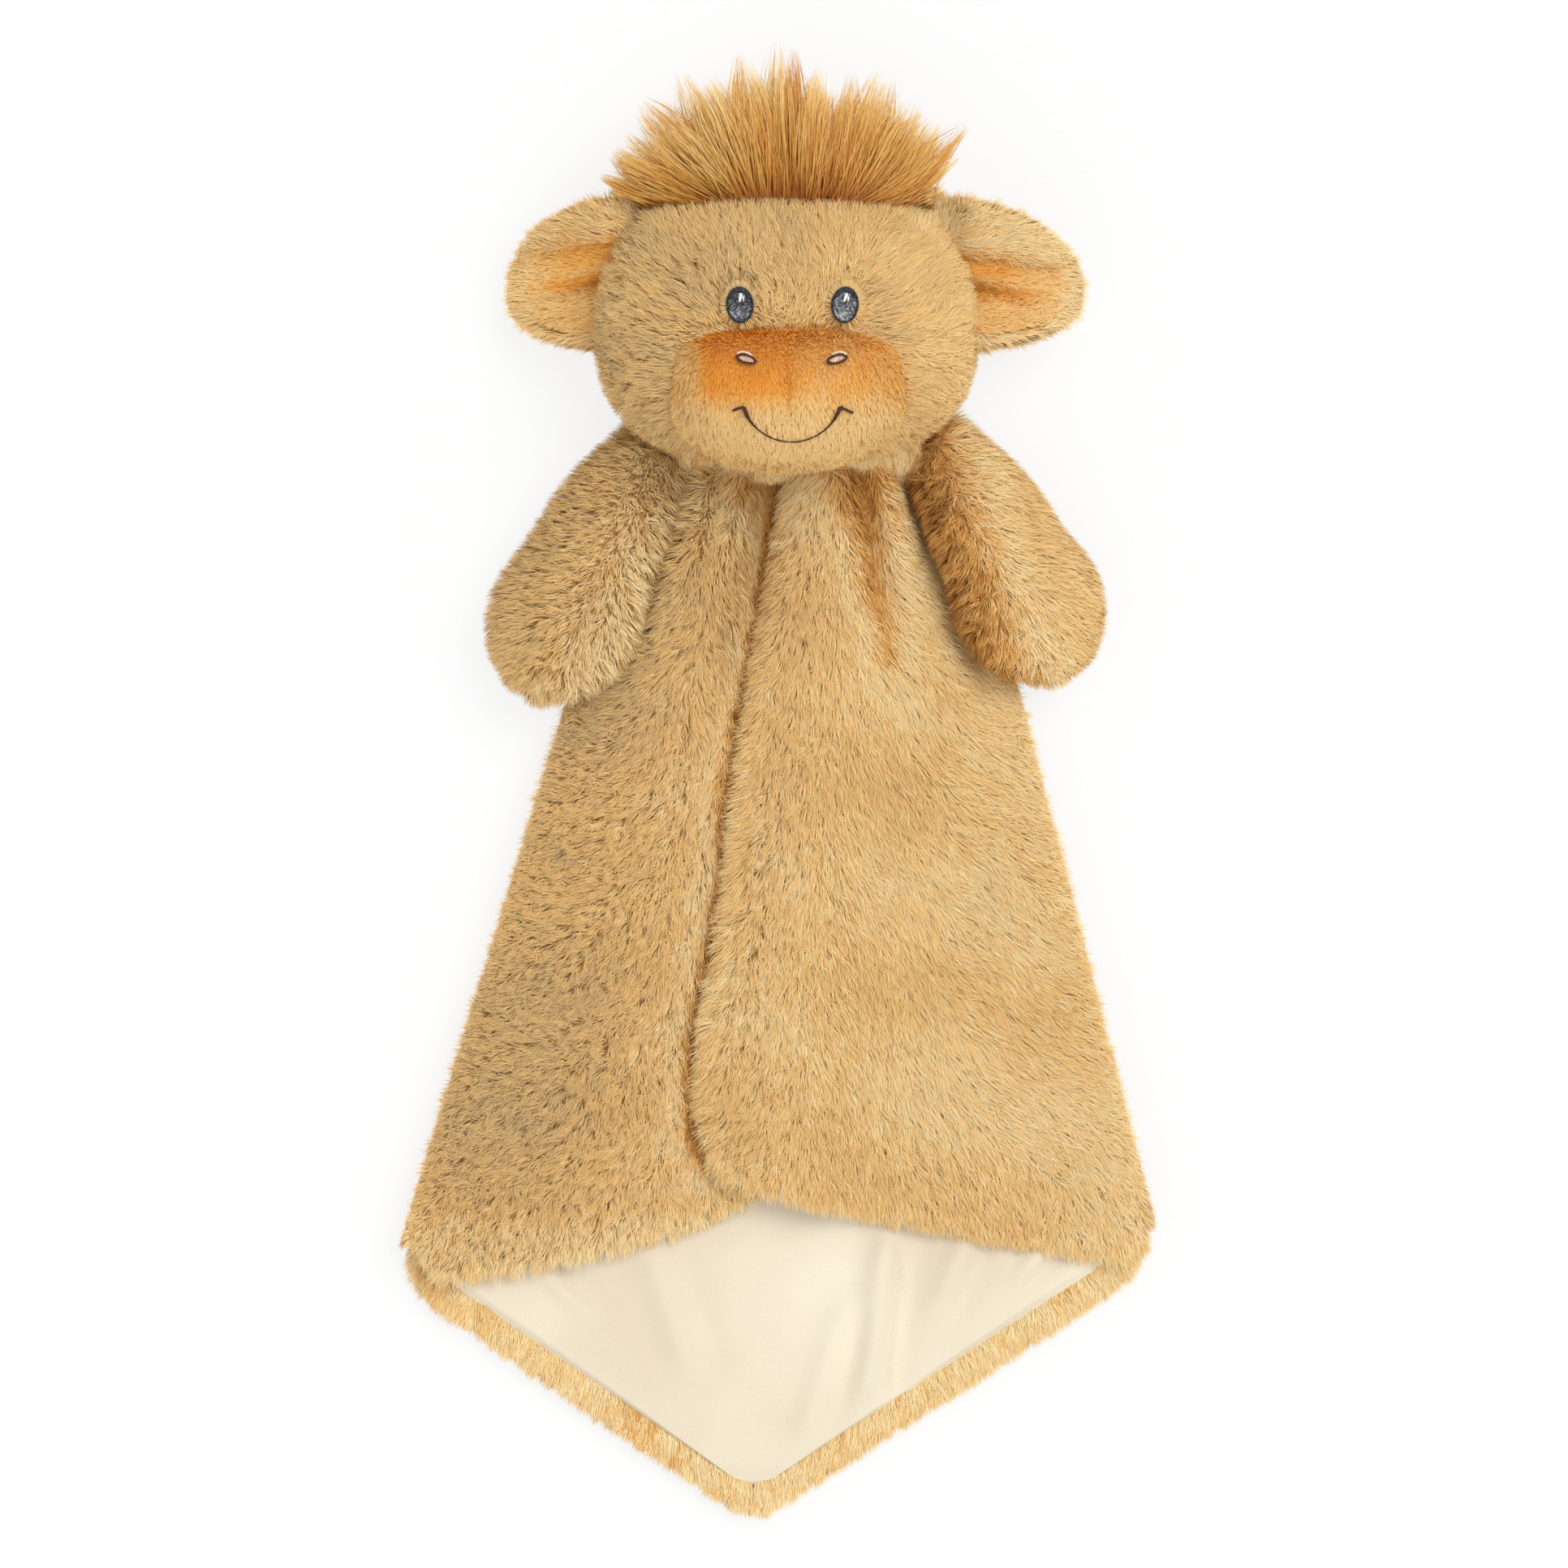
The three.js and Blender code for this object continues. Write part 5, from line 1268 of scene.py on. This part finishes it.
def back_grid(inset, level, top_y=NECK_END_Y, rows=110, columns=70):
    """Grid of points over the blanket's underlying half, from the neck to the tip."""
    low_y = min(back_outline(side, inset)[0][-1, 1] for side in SIDES)
    t = np.linspace(0, 1, rows)
    y = np.broadcast_to((top_y + (low_y - top_y) * (t + 0.12 * t * (1 - t)))[:, None], (rows, columns))
    u = np.linspace(0, 1, columns)[None]
    left, right = (outline_x(side, y, inset) for side in SIDES)
    return np.stack([mix(left, right, u), y, level(mix(left, right, u), y)], -1)


# X at the middle, sideways run, lowest Y, highest Y, width and height of each crease
LINING_CREASES = (
    (28, 0.12, -176, -118, 4.6, 4.2), (49, 0.35, -152, -118, 4.2, 2.8), (72, 0.6, -144, -118, 3.4, 2.4),
    (12, 0.3, -188, -146, 4.5, 2.0), (-30, -0.3, -168, -120, 5.5, 2.2), (-62, -0.8, -152, -122, 4.5, 1.8))


def lining_folds(x, y):
    """Soft folds of the lining where it shows, and none where the front lies on it."""
    bare = smooth((-119 - y) / 14)
    fold = 0
    for at, run, low, high, wide, rise in LINING_CREASES:
        across = (x - at - run * (y - (low + high) / 2)) / wide
        ridge = np.exp(-across ** 2) - 0.7 * np.exp(-(across - 1.3) ** 2)
        fold = fold + rise * ridge * smooth((y - low) / 12) * smooth((high + 6 - y) / 12)
    broad = 0.5 * plan_waves(x, y, 60, 101)
    return bare * np.maximum(1.2 + fold + 1.6 * broad, -0.4)


ROWS, COLUMNS = 150, 120
lining_top = back_grid(7.0, lambda x, y: LINING_Z + lining_folds(x, y), NECK_END_Y - 8, ROWS, COLUMNS)
from_side = np.minimum(np.arange(COLUMNS), np.arange(COLUMNS)[::-1])[None]
from_tip = np.arange(ROWS)[::-1][:, None]
lining_top[..., 2] = mix(5.4, lining_top[..., 2], smooth(from_side / 4) * smooth(from_tip / 4))
lining_slab = slab(lining_top, levelled(lining_top, LINING_UNDER_Z))
blanket_lining = placed(make("blanket_lining", lining_slab, cream_lining), rides("blanket"), "blanket_back_lining")

cloth_top = back_grid(4.0, lambda x, y: np.full(x.shape, CLOTH_Z))
cloth_bottom = levelled(cloth_top, CLOTH_UNDER_Z)
fur_cloth = placed(make("blanket_fur_cloth", slab(cloth_top, cloth_bottom), tan_cloth),
                   rides("blanket"), "blanket_back_fur")


def down_the_back(points, normals):
    sideways = 0.5 * points[:, 0] / 100 + 0.3 * waves(points, 40, 111)
    return np.stack([sideways, -1.0 + 0.2 * waves(points, 36, 112), -0.1 + 0 * sideways], 1)


under = grow(grid(cloth_bottom, up=False), 2.2, 6.8, down_the_back, 113, lay=18, width=0.38, spacing=1.8,
             tone=lambda p: 0.38 + 0.1 * waves(p, 40, 114), curl=4)
strands("blanket_fur", [under], tan_fur, rides("blanket"))


def rim_strip(side, part, inner, outer, level_in, level_out, count=160, across=5):
    """A strip along the outline and the way out from it, for the fur that shows round the lining."""
    near, run_near = back_outline(side, inner)
    far, run_far = back_outline(side, outer)
    t = np.linspace(*part, count)
    a = np.stack([np.interp(t * run_near[-1], run_near, near[:, i]) for i in (0, 1)], 1)
    b = np.stack([np.interp(t * run_far[-1], run_far, far[:, i]) for i in (0, 1)], 1)
    k = np.linspace(0, 1, across)[None, :, None]
    plan = mix(a[:, None], b[:, None], k)
    return raised(plan, mix(level_in, level_out, k)[..., 0] + 0 * plan[..., 0])


def outward_from_rim(side, part):
    strip = rim_strip(side, part, 8.0, 1.0, 0, 0)
    line, way = strip[:, 0], unit(strip[:, -1, :2] - strip[:, 0, :2])

    def flow(points, normals):
        return raised(way[nearest(line, points * (1, 1, 0))], np.full(len(points), -0.12)) + (0, -0.25, 0)
    return flow


HEM_CLUMPS = {"spacing": 1.9, "drawn": 0.35}

for side in SIDES:
    # Hem: the fur that stands out beyond the lining. Its share of the outline starts at the side corner.
    line, run = back_outline(side, 4.0)
    corner_share = run[2] / run[-1]
    hem = (corner_share - 0.02, 1.0)
    flow = outward_from_rim(side, hem)
    above = grow(grid(rim_strip(side, hem, 8.4, 3.6, 5.3, 4.6)), 19, 7.0, flow, 121 + SIGN[side], lay=26,
                 tone=lambda p: 0.5 + 0.1 * waves(p, 22, 122), pale=0.25, short=0.5, curl=28, **HEM_CLUMPS)
    below = grow(grid(rim_strip(side, hem, 7.6, 3.4, 3.8, 3.6), up=False), 11, 7.4, flow, 125 + SIGN[side],
                 lay=14, tone=0.45, pale=0.2, short=0.45, curl=4, **HEM_CLUMPS)
    between = grow(grid(rim_strip(side, hem, 4.4, 3.4, 4.9, 3.7)), 26, 6.4, flow, 128 + SIGN[side],
                   lay=6, tone=0.48, pale=0.2, short=0.45, curl=8, **HEM_CLUMPS)
    strands(f"hem_{side}_fur", [above, below, between], tan_fur, rides("blanket"))

    # The fold at the side: cloth that turns from the underside up to the front.
    line, run = back_outline(side, 0.8)
    side_part = np.linspace(0.0, corner_share, 90)
    plan = np.stack([np.interp(side_part * run[-1], run, line[:, i]) for i in (0, 1)], 1)
    way = unit(np.gradient(plan, axis=0))
    out_way = np.stack([-way[:, 1], way[:, 0]], 1) * np.where((-way[:, 1] * SIGN[side]) > 0, 1, -1)[:, None]
    around = np.radians(np.linspace(-90, 90, 15))
    ring = plan[:, None] + out_way[:, None] * (1.2 * np.cos(around) - 1.4)[None, :, None]
    fold_surface = raised(ring, np.broadcast_to((7.2 + 3.1 * np.sin(around))[None], ring.shape[:2]))
    out_way = raised(out_way, np.zeros(len(out_way)))[:, None]
    placed(make(f"fold_{side}_cloth", slab(fold_surface, fold_surface - out_way * 0.8), tan_cloth), rides("blanket"))
    fold_top = grid(fold_surface).facing((out_way + 0 * fold_surface).reshape(-1, 3))
    grown = grow(fold_top, 9, 5.2, straight(SIGN[side] * 0.5, -1.0, -0.25),
                 131 + SIGN[side], lay=36, tone=lambda p: 0.34 + 0.08 * waves(p, 24, 132), pale=0.16, spacing=1.7,
                 tousle=0.34)
    strands(f"fold_{side}_fur", [grown], tan_fur, rides("blanket"))


# Neck: the furry cuff inside the gathers, which stays closed when the head nods

cuff_y = np.linspace(83.0, 103.0, 24)
cuff_angle = np.linspace(0, 2 * math.pi, 60, endpoint=False)[None]
middle_x, middle_z, half_x, half_z = (np.interp(cuff_y, (83, 88, 94, 103), values)[:, None] for values in (
    (6, 6, 5, 4), (13, 17, 22, 26), (34, 34, 33, 28), (5, 8.5, 12, 14)))
cuff = np.stack([middle_x + half_x * bent(np.cos(cuff_angle), 0.85), cuff_y[:, None] + 0 * cuff_angle,
                 middle_z + half_z * bent(np.sin(cuff_angle), 0.85)], -1)
cuff_fasten = bends()
placed(make("neck_cloth", loft(cuff), tan_cloth), cuff_fasten)
cuff_fur = grow(loft(cuff), 6, 4.6, straight(0.0, -1.0, -0.3), 151, lay=34, tone=0.6,
                keep=lambda p, n, r: (p[:, 1] > cuff_y[0] + 0.3) & (p[:, 1] < cuff_y[-1] - 0.3))
strands("neck_fur", [cuff_fur], tan_fur, cuff_fasten)


# Hair

# The outline of the tips, from left to right, for places along the seam from -1 to 1.
TIP_PLACES = (-1, -0.9, -0.8, -0.715, -0.62, -0.53, -0.434, -0.3, -0.07, 0.1, 0.28, 0.42, 0.58, 0.75, 0.85, 0.93, 1)
TIPS = np.array([(-49.5, 162), (-51, 165), (-49, 169), (-47, 174), (-45, 181), (-37, 188), (-27, 195.5),
                 (-17.5, 199), (-2.7, 203), (6.5, 202), (16.5, 197), (23, 195.5), (35, 192), (52.5, 178.5),
                 (51.5, 172), (50.5, 167), (45, 161)])


def tip_of(place):
    return np.stack([np.interp(place, TIP_PLACES, TIPS[:, i]) for i in (0, 1)] + [SEAM_Z + 0 * place], 1)


def hair(count, seed, locks=46):
    """Long strands, most of them in pointed locks, that fan out of the top seam."""
    rng = np.random.default_rng(seed)
    lock_u = np.linspace(-1, 1, locks) + rng.uniform(-0.9, 0.9, locks) / locks
    lock_reach = rng.uniform(0.74, 1.04, locks)
    lock_tip = lock_u + 0.045 * rng.normal(size=locks)
    lock_lift = rng.uniform(-1, 1, locks)
    which = rng.integers(0, locks, count)
    u = np.clip(lock_u[which] + rng.normal(size=count) * 0.045, -1.03, 1.03)
    face = rng.uniform(-1, 1, count)
    inward = rng.uniform(0.6, 1.04, locks)[which] + rng.normal(size=count) * 0.06
    inward = np.minimum(inward, 1.0)
    root = np.stack([HEAD_X + 38.0 * u * inward, 156 + 2 * rng.random(count), SEAM_Z + face * 3.4], 1)
    lock_root = np.stack([HEAD_X + 38.0 * lock_u[which] * inward, 157 + 0 * u, SEAM_Z + 0 * u], 1)
    reach = (lock_reach[which] * (1 - 0.55 * rng.random(count) ** 1.2))[:, None]
    free = rng.random(count) < 0.3
    reach[free] *= 0.86
    own_way = (tip_of(mix(u, lock_u[which], 0.4) + 0.09 * rng.normal(size=count)) - root) * reach
    lock_way = (tip_of(lock_tip[which]) - lock_root) * reach
    hold = np.where(free, 0.2, 0.92)[:, None]
    end_lift = lock_lift[which] * 6.0 + face * 3.0
    spread = rng.normal(size=(count, 3)) * (1.0, 0.5, 1.1)
    phase = rng.uniform(0, 2 * math.pi, count)
    bow = rng.normal(size=count) * 1.2
    middles = []
    for k in np.linspace(0, 1, HAIR_STEPS + 1):
        swell = math.sin(math.pi * min(1, k * 0.8 + 0.03)) * 9.5 * face * (1 - 0.35 * u * u)
        own = root + own_way * k
        lock = lock_root + lock_way * k + spread * (1.3 - k)
        place = mix(own, lock, hold * np.minimum(1, k * reach) ** 1.3)
        place[:, 0] += 0.4 * np.sin(k * 5 + phase) * k + bow * k * (1 - k)
        place[:, 2] += swell * (1 - 0.3 * k) + end_lift * k ** 1.5
        middles.append(place)
    middles = np.stack(middles, 1)
    along = unit(middles[:, -1] - middles[:, 0])
    normal = unit(np.stack([0.5 * along[:, 0], 0.2 + 0 * u, np.where(face > -0.2, 1.0, -1.0)], 1))
    across = unit(np.cross(along, normal) + 0.4 * rng.normal(size=(count, 3)))
    tones = np.clip(0.42 + 0.2 * rng.normal(size=locks)[which] + 0.2 * rng.normal(size=count), 0.03, 0.97)
    return blades(middles, across, normal, tones, lambda k: 0.17 * (1 - 0.75 * k), lambda k: 0.02 + 0.96 * k)


around = np.linspace(0, 2 * math.pi, 20, endpoint=False)[None]
across = np.linspace(-1, 1, 40)[:, None]
round_end = (1 - np.abs(across) ** 8) ** 0.5 + 0.02
seam = np.stack([HEAD_X + 36.0 * across + 0 * around, 156.2 + 2.0 * round_end * np.sin(around),
                 SEAM_Z + 4.2 * round_end * np.cos(around)], -1)
placed(make("hair_root_cloth", loft(seam), hair_cloth), rides("head"))
tuft = strands("hair_tuft_strands", [hair(14000, 141)], long_hair, rides("head"))
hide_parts("hair_tuft")


# Floor, light and camera

def white_to_camera(name, colour, share):
    """A matt surface of which the camera sees mostly white, with the object's shadow left on it."""
    material = bpy.data.materials.new(name)
    material.use_nodes = True
    nodes, links = material.node_tree.nodes, material.node_tree.links
    nodes.clear()
    matt = nodes.new("ShaderNodeBsdfDiffuse")
    matt.inputs["Color"].default_value = colour
    glow = nodes.new("ShaderNodeEmission")
    path = nodes.new("ShaderNodeLightPath")
    seen = nodes.new("ShaderNodeMath")
    seen.operation = "MULTIPLY"
    seen.inputs[1].default_value = share
    blend = nodes.new("ShaderNodeMixShader")
    links.new(path.outputs["Is Camera Ray"], seen.inputs[0])
    links.new(seen.outputs[0], blend.inputs[0])
    links.new(matt.outputs[0], blend.inputs[1])
    links.new(glow.outputs[0], blend.inputs[2])
    links.new(blend.outputs[0], nodes.new("ShaderNodeOutputMaterial").inputs["Surface"])
    return material


floor_edge = 6000.0
floor = make("floor", Surface([(-floor_edge, -floor_edge, 0), (floor_edge, -floor_edge, 0),
                               (floor_edge, floor_edge, 0), (-floor_edge, floor_edge, 0)], [(0, 1, 2, 3)]),
             white_to_camera("pale_floor", (0.9, 0.9, 0.9, 1), 0.82))
floor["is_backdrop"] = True

world = bpy.data.worlds.new("studio")
bpy.context.scene.world = world
world.use_nodes = True
world.node_tree.nodes["Background"].inputs["Color"].default_value = (1, 1, 1, 1)
world.node_tree.nodes["Background"].inputs["Strength"].default_value = 0.6


def sun(name, strength, angle, direction):
    lamp = bpy.data.lights.new(name, "SUN")
    lamp.energy = strength
    lamp.angle = math.radians(angle)
    obj = bpy.data.objects.new(name, lamp)
    obj.rotation_euler = tuple(math.radians(a) for a in direction)
    bpy.context.scene.collection.objects.link(obj)


sun("key", 1.45, 40, (-18, 24, 0))
sun("fill", 0.6, 60, (38, -18, 0))

camera_data = bpy.data.cameras.new("camera")
camera_data.sensor_width = 36
camera_distance, frame_width = 12000.0, 431.0
camera_data.lens = camera_data.sensor_width * camera_distance / frame_width
camera_data.clip_end = 100
camera = bpy.data.objects.new("camera", camera_data)
camera.location = (1.9 * MM, -1.6 * MM, (camera_distance + 20) * MM)
bpy.context.scene.collection.objects.link(camera)
bpy.context.scene.camera = camera

bpy.context.scene.view_settings.view_transform = "Standard"

low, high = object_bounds()
